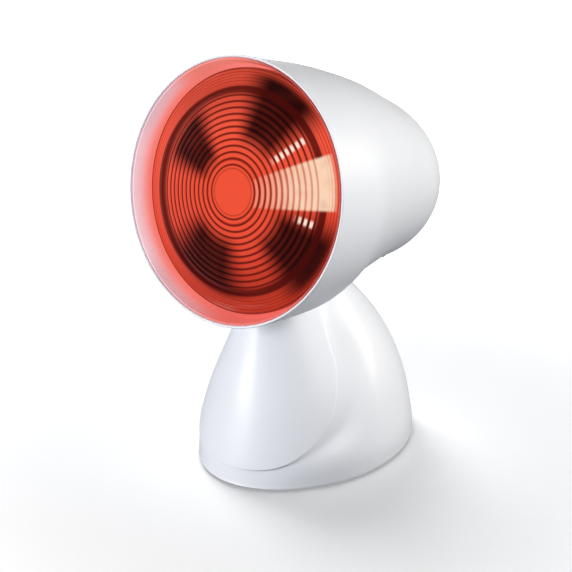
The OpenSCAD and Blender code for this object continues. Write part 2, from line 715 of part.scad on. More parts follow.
// Front panel: a leaf laid on the foot's outer form.
leaf_edge_n = 20;
leaf_mid = 0.42;
module front_panel() {
    share = [for (i = [0 : leaf_edge_n]) pow(i / leaf_edge_n, 1.8)];
    right = [for (f = share) [smooth(leaf_rows, f, 1), f]];
    top = [for (i = [1 : 11]) [right[leaf_edge_n][0] * (1 - i / 6), 1]];
    edge = concat(right, top, [for (i = [leaf_edge_n : -1 : 1]) [-right[i][0], right[i][1]]]);
    rings = [for (k = [1, 0.97, 0.88, 0.76, 0.64, 0.52, 0.4, 0.25, 0.1])
        [for (e = edge) [e[0] * k, leaf_mid + (e[1] - leaf_mid) * k]]];
    function spot(p, under) =
        let (z = leaf_z + p[1] * leaf_h, turn = asin(max(min(p[0] * leaf_w / 2 / half_w(z), 0.98), -0.98)))
        foot_point(turn, z, under ? set_in(turn, z) - leaf_gap : 0);
    color(white) difference() {
        loft(concat([for (i = [len(rings) - 1 : -1 : 0]) [for (p = rings[i]) spot(p, true)]],
            [for (r = rings) [for (p = r) spot(p, false)]]));
        above_roof(0.3);
    }
}
module back_panel() {
    color(white) difference() {
        on_back(-panel_t) panel_form(0, panel_t);
        on_back(-panel_t - cut) {
            translate([-housing_w / 2 - 0.1, switch_y - housing_l / 2 - 0.1, 0])
                cube([housing_w + 0.2, housing_l + 0.2, 4]);
            translate([-inlet_w / 2 - 1.7, inlet_y - inlet_h / 2 - 1.7, 0])
                cube([inlet_w + 3.4, inlet_h + 3.4, 4]);
            at_each(panel_screw_places) cylinder(d = 2, h = 4);
        }
    }
}
module panel_screws() {
    color(steel) on_back() at_each(panel_screw_places) small_screw(panel_t + 1.6);
}

// Bottom plate, ballast and feet.
module plate_outline(z, inset) {
    mid = (front_y(z) + back_y(z)) / 2;
    half = (back_y(z) - front_y(z)) / 2 - inset;
    polygon([for (j = [0 : 71]) let (a = 5 * j)
        [(half_w(z) - inset) * sin(a), mid - half * cos(a)]]);
}
module bottom_plate() {
    color([0.85, 0.86, 0.88]) difference() {
        translate([0, 0, plate_z]) linear_extrude(plate_t)
            plate_outline(plate_top, foot_wall + leaf_step_low + plate_gap);
        at_each(concat(boss_places, weight_places)) {
            cylinder(d = screw_d + 0.4, h = 8);
            translate([0, 0, plate_z - 1]) cylinder(d = screw_head_d + 0.4, h = 2);
        }
    }
}
module ballast_weight() {
    color([0.35, 0.36, 0.38]) difference() {
        translate([-weight_w / 2, weight_y - weight_l / 2, plate_top])
            cube([weight_w, weight_l, weight_t]);
        at_each(weight_places) cylinder(d = screw_d, h = plate_top + 5);
    }
}
module rubber_feet() {
    color(dark) at_each(pad_places) cylinder(d = pad_d, h = pad_h);
}
module base_screws() {
    color(steel) at_each(boss_places)
        translate([0, 0, plate_z + 1]) rotate([180, 0, 0]) screw(plate_t + 8, 0.9);
}
module weight_screws() {
    color(steel) at_each(weight_places)
        translate([0, 0, plate_z + 1]) rotate([180, 0, 0]) screw(plate_t + 3.4, 0.9);
}

// Tilt hinge.
module neck_post() {
    color([0.45, 0.46, 0.48]) at_axis() difference() {
        union() {
            for (side = [0, 1]) mirror([side, 0, 0]) {
                translate([cheek_gap / 2, 0, 0]) rotate([0, 90, 0]) cylinder(r = cheek_r, h = cheek_t);
                translate([cheek_gap / 2, -cheek_r, flange_top - 1])
                    cube([cheek_t, 2 * cheek_r, -flange_top + 1]);
            }
            translate([-cheek_out, -19, flange_top - post_flange_t])
                cube([2 * cheek_out, 28, post_flange_t]);
            translate([0, 12.2, flange_top - post_flange_t]) cylinder(r = 4, h = post_flange_t);
            translate([-4, 8, flange_top - post_flange_t]) cube([8, 4.2, post_flange_t]);
        }
        rotate([0, 90, 0]) cylinder(d = pin_d + 2 * pin_clear, h = big, center = true);
        at_each(post_places) translate([0, 0, -30]) cylinder(d = screw_d + 0.4, h = 16);
        translate([0, -4.5, -30]) cylinder(d = wire_d + 1.2, h = 16);
    }
}
module post_screws() {
    color(steel) at_axis() at_each(post_places)
        translate([0, 0, flange_top - post_flange_t]) rotate([180, 0, 0]) screw(post_flange_t + 5);
}
module pivot_pins() {
    out = ear_x + ear_t + spring_t;
    inner = cheek_gap / 2 + 0.6;
    color(steel) at_axis() for (side = [0, 1]) mirror([side, 0, 0]) rotate([0, 90, 0]) {
        translate([0, 0, inner]) cylinder(d = pin_d, h = out - inner + cut);
        translate([0, 0, out]) cylinder(d = pin_d + 3.2, h = pin_head_t);
    }
}
module washer_pair(x, t, r) {
    for (side = [0, 1]) mirror([side, 0, 0]) translate([x, 0, 0]) rotate([0, 90, 0])
        difference() {
            cylinder(r = r, h = t);
            translate([0, 0, -cut]) cylinder(d = pin_d + 2 * pin_clear, h = t + 2 * cut);
        }
}
module friction_washers() {
    color(brass) at_axis() washer_pair(cheek_out, washer_t, ear_r - 0.4);
}
module spring_washers() {
    color(steel) at_axis() washer_pair(ear_x + ear_t, spring_t, pin_d / 2 + 1.8);
}

// Inlet and switch.
module mouth(w, h, depth) {
    linear_extrude(depth) {
        translate([-(w - h) / 2, -h / 2]) square([w - h, h]);
        for (x = [-1, 1]) translate([x * (w - h) / 2, 0]) circle(d = h);
    }
}
module inlet_socket() {
    color(dark) on_back() translate([0, inlet_y, 0]) difference() {
        union() {
            translate([-inlet_w / 2 - inlet_out, -inlet_h / 2 - inlet_out, 0])
                cube([inlet_w + 2 * inlet_out, inlet_h + 2 * inlet_out, inlet_flange]);
            translate([-inlet_w / 2 - 1.6, -inlet_h / 2 - 1.6, -inlet_depth - 2])
                cube([inlet_w + 3.2, inlet_h + 3.2, inlet_depth + 2 + cut]);
        }
        translate([0, 0, inlet_flange - inlet_depth]) mouth(inlet_w, inlet_h, inlet_depth + cut);
        for (x = [-1, 1])
            translate([x * inlet_pitch / 2, 0, -inlet_depth - 3]) cylinder(d = inlet_pin_d, h = 6);
    }
}
module inlet_pins() {
    color(steel) on_back() for (x = [-1, 1]) translate([x * inlet_pitch / 2, inlet_y, 0]) {
        translate([0, 0, -inlet_depth - 2]) cylinder(d = inlet_pin_d, h = inlet_depth + 2);
        translate([-0.4, -2, -inlet_depth - 6]) cube([0.8, 4, 4]);
    }
}
axle_z = -1.6;
axle_r = 1.5;
module switch_housing() {
    color(dark) on_back() translate([0, switch_y, 0]) difference() {
        union() {
            translate([-housing_w / 2 - flange_out, -housing_l / 2 - flange_out, 0])
                cube([housing_w + 2 * flange_out, housing_l + 2 * flange_out, switch_flange]);
            translate([-housing_w / 2, -housing_l / 2, -switch_depth])
                cube([housing_w, housing_l, switch_depth + cut]);
        }
        translate([-rocker_w / 2 - clear, -rocker_l / 2 - 0.8, -8])
            cube([rocker_w + 2 * clear, rocker_l + 1.6, 12]);
        translate([0, 0, axle_z]) rotate([0, 90, 0])
            cylinder(r = axle_r + pin_clear, h = rocker_w + 2.2, center = true);
    }
}
module switch_terminals() {
    color(brass) on_back() for (y = [-1, 1])
        translate([-2.4, switch_y + y * 5 - 0.4, -switch_depth - 7]) cube([4.8, 0.8, 7]);
}
module switch_rocker() {
    half = rocker_l / 2;
    color(dark) on_back() translate([0, switch_y, axle_z]) rotate([-rocker_travel / 2, 0, 0]) {
        rotate([90, 0, 90]) translate([0, 0, -rocker_w / 2]) linear_extrude(rocker_w)
            polygon([[-half + 0.6, -3.4], [half - 0.6, -3.4], [half - 0.2, 1.4], [half - 0.4, 4.4],
                [half - 1, 4.7], [0, 3.3], [1 - half, 4.7], [0.4 - half, 4.4], [0.2 - half, 1.4]]);
        rotate([0, 90, 0]) cylinder(r = axle_r, h = rocker_w + 1.8, center = true);
    }
}

// Wiring of the foot.
wire_x = 8;
module terminal_block() {
    color([0.93, 0.92, 0.86]) difference() {
        translate([-block_w / 2, block_back - block_l, plate_top]) cube([block_w, block_l, block_h]);
        for (x = [-wire_x, wire_x]) translate([x, block_mid, plate_top + 5]) cylinder(d = 4.2, h = 8);
    }
}
module terminal_screws() {
    color(brass) for (x = [-wire_x, wire_x])
        translate([x, block_mid, plate_top + 5]) difference() {
            cylinder(d = 4, h = 4);
            translate([-3, -0.3, 3.2]) cube([6, 0.6, 2]);
        }
}
module mains_wires() {
    inward = [0, -cos(panel_lean), -sin(panel_lean)];
    into = [0, -1, 0];
    color([0.15, 0.25, 0.55]) {
        tube([inlet_tab(1), inlet_tab(1) + 2 * inward, [-wire_x, block_back + 3, 11],
            [-wire_x, block_back, 9]], 2, inward, into);
        tube([inlet_tab(-1), inlet_tab(-1) + 4 * inward, inlet_tab(-1) + [4, -6, 9],
            switch_tab(-1) + 4 * inward, switch_tab(-1)], 2, inward, -inward);
        tube([switch_tab(1), switch_tab(1) + 4 * inward, switch_tab(1) + [12, 0.6, -1.2],
            switch_tab(1) + [13, 3.6, -15.2], [wire_x + 1, block_back + 4, 14],
            [wire_x, block_back, 9]], 2, inward, into);
    }
}
riser_y = axis_y - 4.5;
module riser_cable() {
    points = [[0, block_mid, plate_top + block_h], [0, block_mid, plate_top + block_h + 6],
        [0, 10, 34], [0, riser_y, 50], [0, riser_y, 70], [0, riser_y, axis_z - 19],
        [-2.6, riser_y + 1, axis_z - 13], [-6, riser_y + 3.6, axis_z - 6],
        [-4.6, axis_y, axis_z - 1.4], [-2.2, axis_y, axis_z], [0, axis_y, axis_z]];
    color(dark) tube(points, wire_d, [0, 0, 1], [1, 0, 0]);
}
clip_z = 74;
clip_h = 5;
clip_top = axis_z + flange_top - post_flange_t;
module cable_clip() {
    color(steel) difference() {
        union() {
            translate([0, riser_y, clip_z]) cylinder(r = wire_d / 2 + 1.2, h = clip_h);
            translate([-3, riser_y - 9, clip_top - 1]) cube([6, 9, 1]);
            translate([-3, riser_y - 2.4, clip_z]) cube([6, 1, clip_top - clip_z]);
        }
        translate([0, riser_y, clip_z - cut]) cylinder(r = wire_d / 2 + 0.2, h = big);
    }
}

head_shell();
shade_liner();
bulb_lens();
bulb_reflector();
bulb_skirt();
bulb_cap();
bulb_insulator();
bulb_contact();
filament();
filament_stem();
lampholder_body();
lampholder_sleeve();
lampholder_contact();
holder_bracket();
holder_screws();
bracket_screws();
heat_shield();
thermal_cutout();
head_wires();
tilt_yoke();
yoke_screws();
base_shell();
front_panel();
back_panel();
panel_screws();
bottom_plate();
ballast_weight();
weight_screws();
rubber_feet();
base_screws();
neck_post();
post_screws();
pivot_pins();
friction_washers();
spring_washers();
inlet_socket();
inlet_pins();
switch_housing();
switch_terminals();
switch_rocker();
terminal_block();
terminal_screws();
mains_wires();
riser_cable();
cable_clip();
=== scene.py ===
"""Infrared heat lamp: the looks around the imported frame.

Metres, +Z up, front of the lamp towards -Y, origin on the table under the middle.
"""
import json
import math
import bpy
from mathutils import Matrix, Vector


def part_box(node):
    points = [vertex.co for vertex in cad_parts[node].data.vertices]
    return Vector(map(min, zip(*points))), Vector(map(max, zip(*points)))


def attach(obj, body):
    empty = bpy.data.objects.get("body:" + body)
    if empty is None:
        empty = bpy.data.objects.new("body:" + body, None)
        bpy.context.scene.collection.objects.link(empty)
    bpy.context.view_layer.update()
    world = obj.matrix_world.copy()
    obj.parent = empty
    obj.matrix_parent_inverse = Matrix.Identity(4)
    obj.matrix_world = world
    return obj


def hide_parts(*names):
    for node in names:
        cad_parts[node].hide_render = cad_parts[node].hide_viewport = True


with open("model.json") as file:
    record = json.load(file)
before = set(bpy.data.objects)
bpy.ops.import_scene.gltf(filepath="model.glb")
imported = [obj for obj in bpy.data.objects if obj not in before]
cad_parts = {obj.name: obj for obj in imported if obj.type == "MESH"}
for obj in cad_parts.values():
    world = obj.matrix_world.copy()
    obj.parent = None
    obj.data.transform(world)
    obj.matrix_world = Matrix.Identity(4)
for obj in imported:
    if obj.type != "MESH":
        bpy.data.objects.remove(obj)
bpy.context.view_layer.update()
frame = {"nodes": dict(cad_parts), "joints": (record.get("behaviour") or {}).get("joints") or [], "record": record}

MM = 0.001
NODES = frame["nodes"]

# ---------------------------------------------------------------- camera

CAMERA_AT = (0.6335, -0.81725, 0.5212)
CAMERA_LOOKS_AT = (0.0001, -0.02525, 0.0949)
CAMERA_LENS = 134.43


def make_camera():
    """A long lens at the photograph's angle."""
    data = bpy.data.cameras.new("camera")
    data.lens = CAMERA_LENS
    data.sensor_width = 36
    data.dof.use_dof = False
    camera = bpy.data.objects.new("camera", data)
    camera.location = CAMERA_AT
    away = Vector(CAMERA_LOOKS_AT) - Vector(CAMERA_AT)
    camera.rotation_euler = away.to_track_quat("-Z", "Y").to_euler()
    bpy.context.scene.collection.objects.link(camera)
    bpy.context.scene.camera = camera


make_camera()

# ---------------------------------------------------------------- places and forms

TILT_AXIS = next(Vector(j["pos_m"]) for j in frame["joints"] if j["name"] == "head_tilt")


def box_size(node):
    low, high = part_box(node)
    return high - low


def smooth(rows, t, column):
    """A smooth curve through rows of (position, value, value, ...), read at position t."""
    i = 0
    while i < len(rows) - 2 and t >= rows[i + 1][0]:
        i += 1

    def slope(k):
        a = rows[max(k - 1, 0)]
        b = rows[min(k + 1, len(rows) - 1)]
        return (b[column] - a[column]) / (b[0] - a[0])

    h = rows[i + 1][0] - rows[i][0]
    u = (t - rows[i][0]) / h
    start, end = rows[i][column], rows[i + 1][column]
    value = (2 * u**3 - 3 * u**2 + 1) * start + (3 * u**2 - 2 * u**3) * end
    return value + h * ((u**3 - 2 * u**2 + u) * slope(i) + (u**3 - u**2) * slope(i + 1))


def ease(u):
    v = min(max(u, 0), 1)
    return v * v * (3 - 2 * v)


def spread(start, end, count, power=1.0):
    """count + 1 numbers from start to end, crowded towards the start when power is above 1."""
    return [start + (end - start) * (i / count) ** power for i in range(count + 1)]


# Head: depth s behind the rim plane, d downwards from the head's own axis. The rows hold
# shares: of its length, then of the rim's radius for the radius and for the lift.
HEAD_SLOPE = math.radians(13.8)
AXIS_DEPTH = 83.7 * MM
AXIS_DROP = 38.2 * MM
RIM_R = box_size("head_shell").x / 2
HEAD_LEN = 154.3 * MM
HEAD_WALL = 2.4 * MM
RIM_WALL = 1.3 * MM
RIM_TAPER = 8 * MM
TAIL_POWER = 2.84
HEAD_ROWS = [
    (0, 1, 0), (0.13, 0.975, 0), (0.26, 0.946, 0.012), (0.39, 0.875, 0.058),
    (0.52, 0.833, 0.076), (0.65, 0.811, 0.070), (0.78, 0.845, 0.048), (0.91, 0.871, 0.030),
    (1, 0.88, 0.018),
]


def from_head(x, d, s):
    """A point of the head's own frame, in the frame of the lamp."""
    down, back = d - AXIS_DROP, s - AXIS_DEPTH
    cos, sin = math.cos(HEAD_SLOPE), math.sin(HEAD_SLOPE)
    y = TILT_AXIS.y - sin * down + cos * back
    z = TILT_AXIS.z - cos * down - sin * back
    return Vector((x, y, z))


HEAD_FRAME = Matrix((
    (1, 0, 0, 0),
    (0, -math.sin(HEAD_SLOPE), math.cos(HEAD_SLOPE), 0),
    (0, -math.cos(HEAD_SLOPE), -math.sin(HEAD_SLOPE), 0),
    (0, 0, 0, 1),
))
HEAD_FRAME.translation = from_head(0, 0, 0)


def head_r(s, inset=0.0):
    """The head's radius at a depth, for its outer form or for one that lies inset from it."""
    share = max(s, 0) / (HEAD_LEN - inset)
    closing = max(1 - share**TAIL_POWER, 0) ** 0.5
    return (RIM_R * smooth(HEAD_ROWS, s / HEAD_LEN, 1) - inset) * closing


def head_lift(s):
    """How far the middle of the head's section lies above its axis at a depth."""
    return RIM_R * smooth(HEAD_ROWS, s / HEAD_LEN, 2)


def head_inner_r(s):
    """The inside of the shell, whose wall thins towards the rim."""
    return head_r(s, HEAD_WALL) + (HEAD_WALL - RIM_WALL) * (1 - ease(s / RIM_TAPER))


# Foot: oval sections, given by shares of the height, the half-width and the half-length.
FOOT_Y = -8.1 * MM
FOOT_W = 102.4 * MM
FOOT_L = 135.1 * MM
FOOT_H = 95.5 * MM
FOOT_WALL = 2.5 * MM
FOOT_EDGE_Z = 1 * MM
FOOT_ROWS = [
    (0, 1, 1, 1), (0.147, 1.010, 0.962, 0.954), (0.419, 0.885, 0.859, 0.874),
    (0.691, 0.650, 0.740, 0.692), (1, 0.318, 0.626, 0.321),
]
ROOF_DROP = 6.2 * MM
ROOF_SLOPE = math.radians(9)
ROOF_T = 2.5 * MM

# Leaf-shaped front panel: shares of its height and of its half-width.
LEAF_W = 80.4 * MM
LEAF_Z = 10.5 * MM
LEAF_H = 78 * MM
LEAF_STEP_LOW = 1.4 * MM
LEAF_STEP = 3 * MM
LEAF_STEP_FROM = 12 * MM
LEAF_STEP_OVER = 16 * MM
LEAF_GAP = 0.6 * MM
LEAF_ROWS = [
    (0, 0), (0.012, 0.395), (0.045, 0.669), (0.109, 0.843), (0.199, 0.958), (0.301, 1),
    (0.429, 0.978), (0.608, 0.871), (0.749, 0.746), (1, 0.51),
]
FOLD_TURN = 30
TOE_TURN = 42
LEAF_MARGIN = 4


def half_w(z):
    return FOOT_W / 2 * smooth(FOOT_ROWS, z / FOOT_H, 1)


def front_y(z):
    return FOOT_Y - FOOT_L / 2 * smooth(FOOT_ROWS, z / FOOT_H, 2)


def back_y(z):
    return FOOT_Y + FOOT_L / 2 * smooth(FOOT_ROWS, z / FOOT_H, 3)


def turn_of(x, z):
    """The turn at which the foot's form has the half-width x."""
    return math.degrees(math.asin(max(min(x / half_w(z), 0.98), -0.98)))


def leaf_turn(z):
    """The turn of the leaf's side edge at a height."""
    if z <= LEAF_Z:
        return 0
    share = min((z - LEAF_Z) / LEAF_H, 1)
    return turn_of(LEAF_W / 2 * smooth(LEAF_ROWS, share, 1), z)


def set_in(turn, z):
    """How far the foot's skin lies behind its outer form, under and beside the leaf."""
    deepening = ease((z - LEAF_STEP_FROM) / LEAF_STEP_OVER)
    depth = LEAF_STEP_LOW + (LEAF_STEP - LEAF_STEP_LOW) * deepening
    edge = max(leaf_turn(z) + LEAF_MARGIN, TOE_TURN)
    return depth * (1 - ease((abs(turn) - edge) / FOLD_TURN))


def foot_point(turn, z, inset):
    """A point on the foot's form; turn is in degrees from the front."""
    middle = (front_y(z) + back_y(z)) / 2
    half = (back_y(z) - front_y(z)) / 2
    a = math.radians(turn)
    x = (half_w(z) - inset) * math.sin(a)
    return Vector((x, middle - (half - inset) * math.cos(a), z))


def roof_z(y):
    """The height of the foot's sloping roof."""
    under_axis = TILT_AXIS.z - ROOF_DROP / math.cos(ROOF_SLOPE)
    return under_axis + (y - TILT_AXIS.y) * math.tan(ROOF_SLOPE)


# Back panel: x along its width, y up along it, z out of it.
PANEL_Z = 32 * MM
PANEL_LEAN = math.radians(16)
POCKET_IN = 6.5 * MM
PANEL_W = 31 * MM
PANEL_H = 46 * MM
PANEL_T = 2 * MM
PANEL_CORNER = 7 * MM
PANEL_GAP = 0.2 * MM
FRAME_T = 2.2 * MM
SWITCH_Y = 10.5 * MM
SWITCH_HOLE = (16.4 * MM, 22.2 * MM)
INLET_Y = -14 * MM
INLET_HOLE = (22 * MM, 13.4 * MM)
BACK_FRAME = (
    Matrix.Translation((0, back_y(PANEL_Z) - POCKET_IN, PANEL_Z))
    @ Matrix.Rotation(PANEL_LEAN, 4, "X")
    @ Matrix.Rotation(math.pi, 4, "Z")
    @ Matrix.Rotation(math.pi / 2, 4, "X")
)

# ---------------------------------------------------------------- modelling tools

MERGE_WITHIN = 0.00001
TURNED_SIDES = 160
ROD_SIDES = 32
CORNER_SEGMENTS = 8
EDGE_SEGMENTS = 3
EDGE_ANGLE = math.radians(30)
FLAT_ANGLE = math.radians(2)


def deselect():
    if bpy.context.mode != "OBJECT":
        bpy.ops.object.mode_set(mode="OBJECT")
    bpy.ops.object.select_all(action="DESELECT")


def take(piece):
    """Makes one piece the active and only selected one."""
    deselect()
    piece.select_set(True)
    bpy.context.view_layer.objects.active = piece


def added(name):
    """The primitive that was just added, under its own name."""
    piece = bpy.context.view_layer.objects.active
    piece.name = name
    piece.data.name = name
    return piece


def apply(piece, kind, **settings):
    """Adds a modifier, sets it and applies it."""
    take(piece)
    modifier = piece.modifiers.new(kind.lower(), kind)
    for key, value in settings.items():
        setattr(modifier, key, value)
    bpy.ops.object.modifier_apply(modifier=modifier.name)


def put_in_mesh(piece, place=None):
    """Moves a piece's place into its mesh, through the matrix place where one is given."""
    bpy.context.view_layer.update()
    matrix = piece.matrix_world.copy()
    piece.data.transform(place @ matrix if place else matrix)
    piece.matrix_world = Matrix.Identity(4)
    piece.data.update()


def tidy_mesh(piece):
    """Merges doubles and turns the faces outwards."""
    take(piece)
    bpy.ops.object.mode_set(mode="EDIT")
    bpy.ops.mesh.select_all(action="SELECT")
    bpy.ops.mesh.remove_doubles(threshold=MERGE_WITHIN)
    bpy.ops.mesh.normals_make_consistent(inside=False)
    bpy.ops.object.mode_set(mode="OBJECT")


def smooth_shade(piece, angle=35):
    take(piece)
    bpy.ops.object.shade_smooth_by_angle(angle=math.radians(angle))


def pulled_skin(name, sides, rings, place, shade_angle=35):
    """A closed form: a circle is pulled out ring by ring, and each ring is laid on the form.

    place(turn, ring) gives the point of a ring at a turn in degrees.
    """
    deselect()
    bpy.ops.mesh.primitive_circle_add(vertices=sides, radius=1.0, fill_type="NOTHING")
    piece = added(name)
    bpy.ops.object.mode_set(mode="EDIT")
    bpy.ops.mesh.select_all(action="SELECT")
    for _ in range(rings - 1):
        bpy.ops.mesh.extrude_region_move(TRANSFORM_OT_translate={"value": (0, 0, 1)})
    bpy.ops.object.mode_set(mode="OBJECT")
    for v in piece.data.vertices:
        turn = math.degrees(math.atan2(v.co.x, -v.co.y))
        v.co = place(turn, round(v.co.z))
    tidy_mesh(piece)
    smooth_shade(piece, shade_angle)
    return piece


def revolved(name, profile, shade_angle=35):
    """A turned form on the head's axis: profile holds the (radius, depth) of each ring."""

    def place(turn, ring):
        r, s = profile[ring]
        a = math.radians(turn)
        return from_head(r * math.sin(a), -r * math.cos(a), s)

    return pulled_skin(name, TURNED_SIDES, len(profile), place, shade_angle)


def block(name, size, centre, place=None, corner=0.0):
    """A box, with its upright edges rounded where a corner is given."""
    deselect()
    bpy.ops.mesh.primitive_cube_add(size=1)
    piece = added(name)
    piece.data.transform(Matrix.Diagonal((*size, 1)))
    if corner:
        round_upright_edges(piece, corner)
    piece.data.transform(Matrix.Translation(centre))
    put_in_mesh(piece, place)
    tidy_mesh(piece)
    return piece


def round_upright_edges(piece, radius):
    """Bevels the edges that run along z."""
    take(piece)
    for e in piece.data.edges:
        a, b = (piece.data.vertices[i].co for i in e.vertices)
        along = b - a
        e.select = abs(along.z) > 0.99 * along.length
    bpy.ops.object.mode_set(mode="EDIT")
    bpy.ops.mesh.select_mode(type="EDGE")
    bpy.ops.mesh.bevel(offset=radius, segments=CORNER_SEGMENTS)
    bpy.ops.object.mode_set(mode="OBJECT")


def rod(name, radius, start, end, place):
    """A short round bar between two heights on the z axis of the matrix place."""
    deselect()
    bpy.ops.mesh.primitive_cylinder_add(vertices=ROD_SIDES, radius=radius, depth=end - start)
    piece = added(name)
    piece.data.transform(Matrix.Translation((0, 0, (start + end) / 2)))
    put_in_mesh(piece, place)
    return piece


def cut(piece, *tools, operation="DIFFERENCE"):
    """Cuts the tools out of a piece, or joins or crosses them with it, and deletes them."""
    for tool in tools:
        apply(piece, "BOOLEAN", operation=operation, solver="EXACT", object=tool)
        bpy.data.objects.remove(tool)
    return piece


def copy_of(piece):
    """A second piece with a mesh of its own."""
    other = piece.copy()
    other.data = piece.data.copy()
    bpy.context.scene.collection.objects.link(other)
    return other


def copy_of_node(name, node, edge):
    """A copy of a CAD node's mesh, merged, with its flat faces joined and its edges softened."""
    piece = bpy.data.objects.new(name, NODES[node].data.copy())
    bpy.context.scene.collection.objects.link(piece)
    piece.data.materials.clear()
    tidy_mesh(piece)
    take(piece)
    bpy.ops.object.mode_set(mode="EDIT")
    bpy.ops.mesh.select_all(action="SELECT")
    bpy.ops.mesh.dissolve_limited(angle_limit=FLAT_ANGLE)
    bpy.ops.object.mode_set(mode="OBJECT")
    apply(
        piece, "BEVEL", width=edge, segments=EDGE_SEGMENTS,
        limit_method="ANGLE", angle_limit=EDGE_ANGLE,
    )
    smooth_shade(piece, 40)
    return piece


def finish(piece, body, slot, material, *replaced):
    """Gives a piece its finish and body, and hides what it stands for; slot is not used."""
    piece.data.materials.clear()
    piece.data.materials.append(material)
    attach(piece, body)
    if replaced:
        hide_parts(*replaced)


# ---------------------------------------------------------------- shader maths


class Value:
    """A shader socket that takes part in sums and products."""

    def __init__(self, net, socket):
        self.net = net
        self.socket = socket

    def maths(self, operation, *others):
        inputs = dict(enumerate((self, *others)))
        return self.net.node("ShaderNodeMath", {"operation": operation}, inputs)

    def __add__(self, other):
        return self.maths("ADD", other)

    __radd__ = __add__

    def __mul__(self, other):
        return self.maths("MULTIPLY", other)

    __rmul__ = __mul__

    def __sub__(self, other):
        return self.maths("SUBTRACT", other)

    def __rsub__(self, other):
        return self.net.node("ShaderNodeMath", {"operation": "SUBTRACT"}, {0: other, 1: self})

    def __truediv__(self, other):
        return self.maths("DIVIDE", other)

    def __pow__(self, other):
        return self.maths("POWER", other)

    def __abs__(self):
        return self.maths("ABSOLUTE")

    def sine(self):
        return self.maths("SINE")

    def least(self, other):
        return self.maths("MINIMUM", other)

    def most(self, other):
        return self.maths("MAXIMUM", other)

    def remainder(self, other):
        return self.maths("FLOORED_MODULO", other)

    def step(self, start, end, low=0.0, high=1.0):
        """A smooth step from low to high as this value goes from start to end."""
        settings = {"interpolation_type": "SMOOTHSTEP"}
        inputs = {0: self, 1: start, 2: end, 3: low, 4: high}
        return self.net.node("ShaderNodeMapRange", settings, inputs)

    def fall(self, start, end):
        """A smooth step from one down to nothing."""
        return self.step(start, end, 1.0, 0.0)

    def hump(self, middle, reach):
        """One at the middle, falling smoothly to nothing at reach on either side."""
        return abs(self - middle).fall(0.0, reach)


class Net:
    """A node tree whose sockets take constants or values."""

    def __init__(self, tree):
        self.tree = tree

    def feed(self, socket, value):
        if isinstance(value, Value):
            self.tree.links.new(value.socket, socket)
        elif isinstance(value, (tuple, list)) and len(value) == 3 and socket.type == "RGBA":
            socket.default_value = (*value, 1)
        else:
            socket.default_value = value

    def node(self, kind, settings=None, inputs=None, output=0):
        """Adds a node: its settings first, then the values or links of its sockets."""
        node = self.tree.nodes.new(kind)
        for key, value in (settings or {}).items():
            if key == "stops":
                self.set_stops(node.color_ramp, value)
            else:
                setattr(node, key, value)
        for key, value in (inputs or {}).items():
            self.feed(node.inputs[key], value)
        return Value(self, node.outputs[output])

    def set_stops(self, ramp, stops):
        while len(ramp.elements) < len(stops):
            ramp.elements.new(1.0)
        for element, (place, colour) in zip(ramp.elements, stops):
            element.position = place
            element.color = (*colour, 1)

    def parts(self, vector):
        """The three values of a vector."""
        split = self.tree.nodes.new("ShaderNodeSeparateXYZ")
        self.tree.links.new(vector.socket, split.inputs[0])
        return [Value(self, split.outputs[i]) for i in range(3)]


class Finish(Net):
    """A material with one Principled shader."""

    def __init__(self, name, **constants):
        self.material = bpy.data.materials.new(name)
        self.material.use_nodes = True
        super().__init__(self.material.node_tree)
        self.shader = self.tree.nodes["Principled BSDF"]
        self.set(**constants)

    def set(self, **sockets):
        for key, value in sockets.items():
            self.feed(self.shader.inputs[key.replace("_", " ")], value)
        return self

    def place(self):
        return self.node("ShaderNodeTexCoord", output="Object")

    def local(self, frame_matrix):
        """The place in another frame, such as the head's, as three values."""
        inverse = frame_matrix.inverted()
        inputs = {
            "Vector": self.place(),
            "Location": inverse.translation[:],
            "Rotation": inverse.to_euler()[:],
        }
        return self.parts(self.node("ShaderNodeMapping", {"vector_type": "POINT"}, inputs))

    def noise(self, scale, detail=2.0, rough=0.5, stretch=None):
        point = self.place()
        if stretch:
            point = self.node("ShaderNodeMapping", {}, {"Vector": point, "Scale": stretch})
        inputs = {"Vector": point, "Scale": scale, "Detail": detail, "Roughness": rough}
        return self.node("ShaderNodeTexNoise", {}, inputs)

    def mix(self, factor, a, b):
        """A mix of two colours."""
        inputs = {0: factor, 6: a, 7: b}
        return self.node("ShaderNodeMix", {"data_type": "RGBA"}, inputs, output=2)

    def bump(self, height, strength, distance):
        inputs = {"Height": height, "Strength": strength, "Distance": distance}
        self.set(Normal=self.node("ShaderNodeBump", {}, inputs))
        return self


def tone(colour, factor):
    return tuple(min(c * factor, 1.0) for c in colour)


# ---------------------------------------------------------------- finishes


def moulded_white(name, colour, rough, coat):
    """Glossy moulded plastic with a very fine peel and a little colour drift."""
    f = Finish(name, Coat_Weight=coat, Coat_Roughness=0.12, IOR=1.5)
    drift = f.noise(14, detail=2)
    f.set(Base_Color=f.mix(drift.step(0.3, 0.7), tone(colour, 0.99), colour))
    f.set(Roughness=f.noise(60, detail=2).step(0.3, 0.7, rough - 0.02, rough + 0.02))
    return f.bump(f.noise(260, detail=1), strength=0.05, distance=0.00001)


def matt_plastic(name, colour, rough):
    """Spark-eroded matt plastic."""
    f = Finish(name, IOR=1.5)
    drift = f.noise(45, detail=3)
    f.set(Base_Color=f.mix(drift.step(0.3, 0.7), tone(colour, 0.85), tone(colour, 1.1)))
    f.set(Roughness=f.noise(160, detail=3).step(0.3, 0.7, rough - 0.06, rough + 0.06))
    return f.bump(f.noise(2200, detail=3), strength=0.5, distance=0.00006)


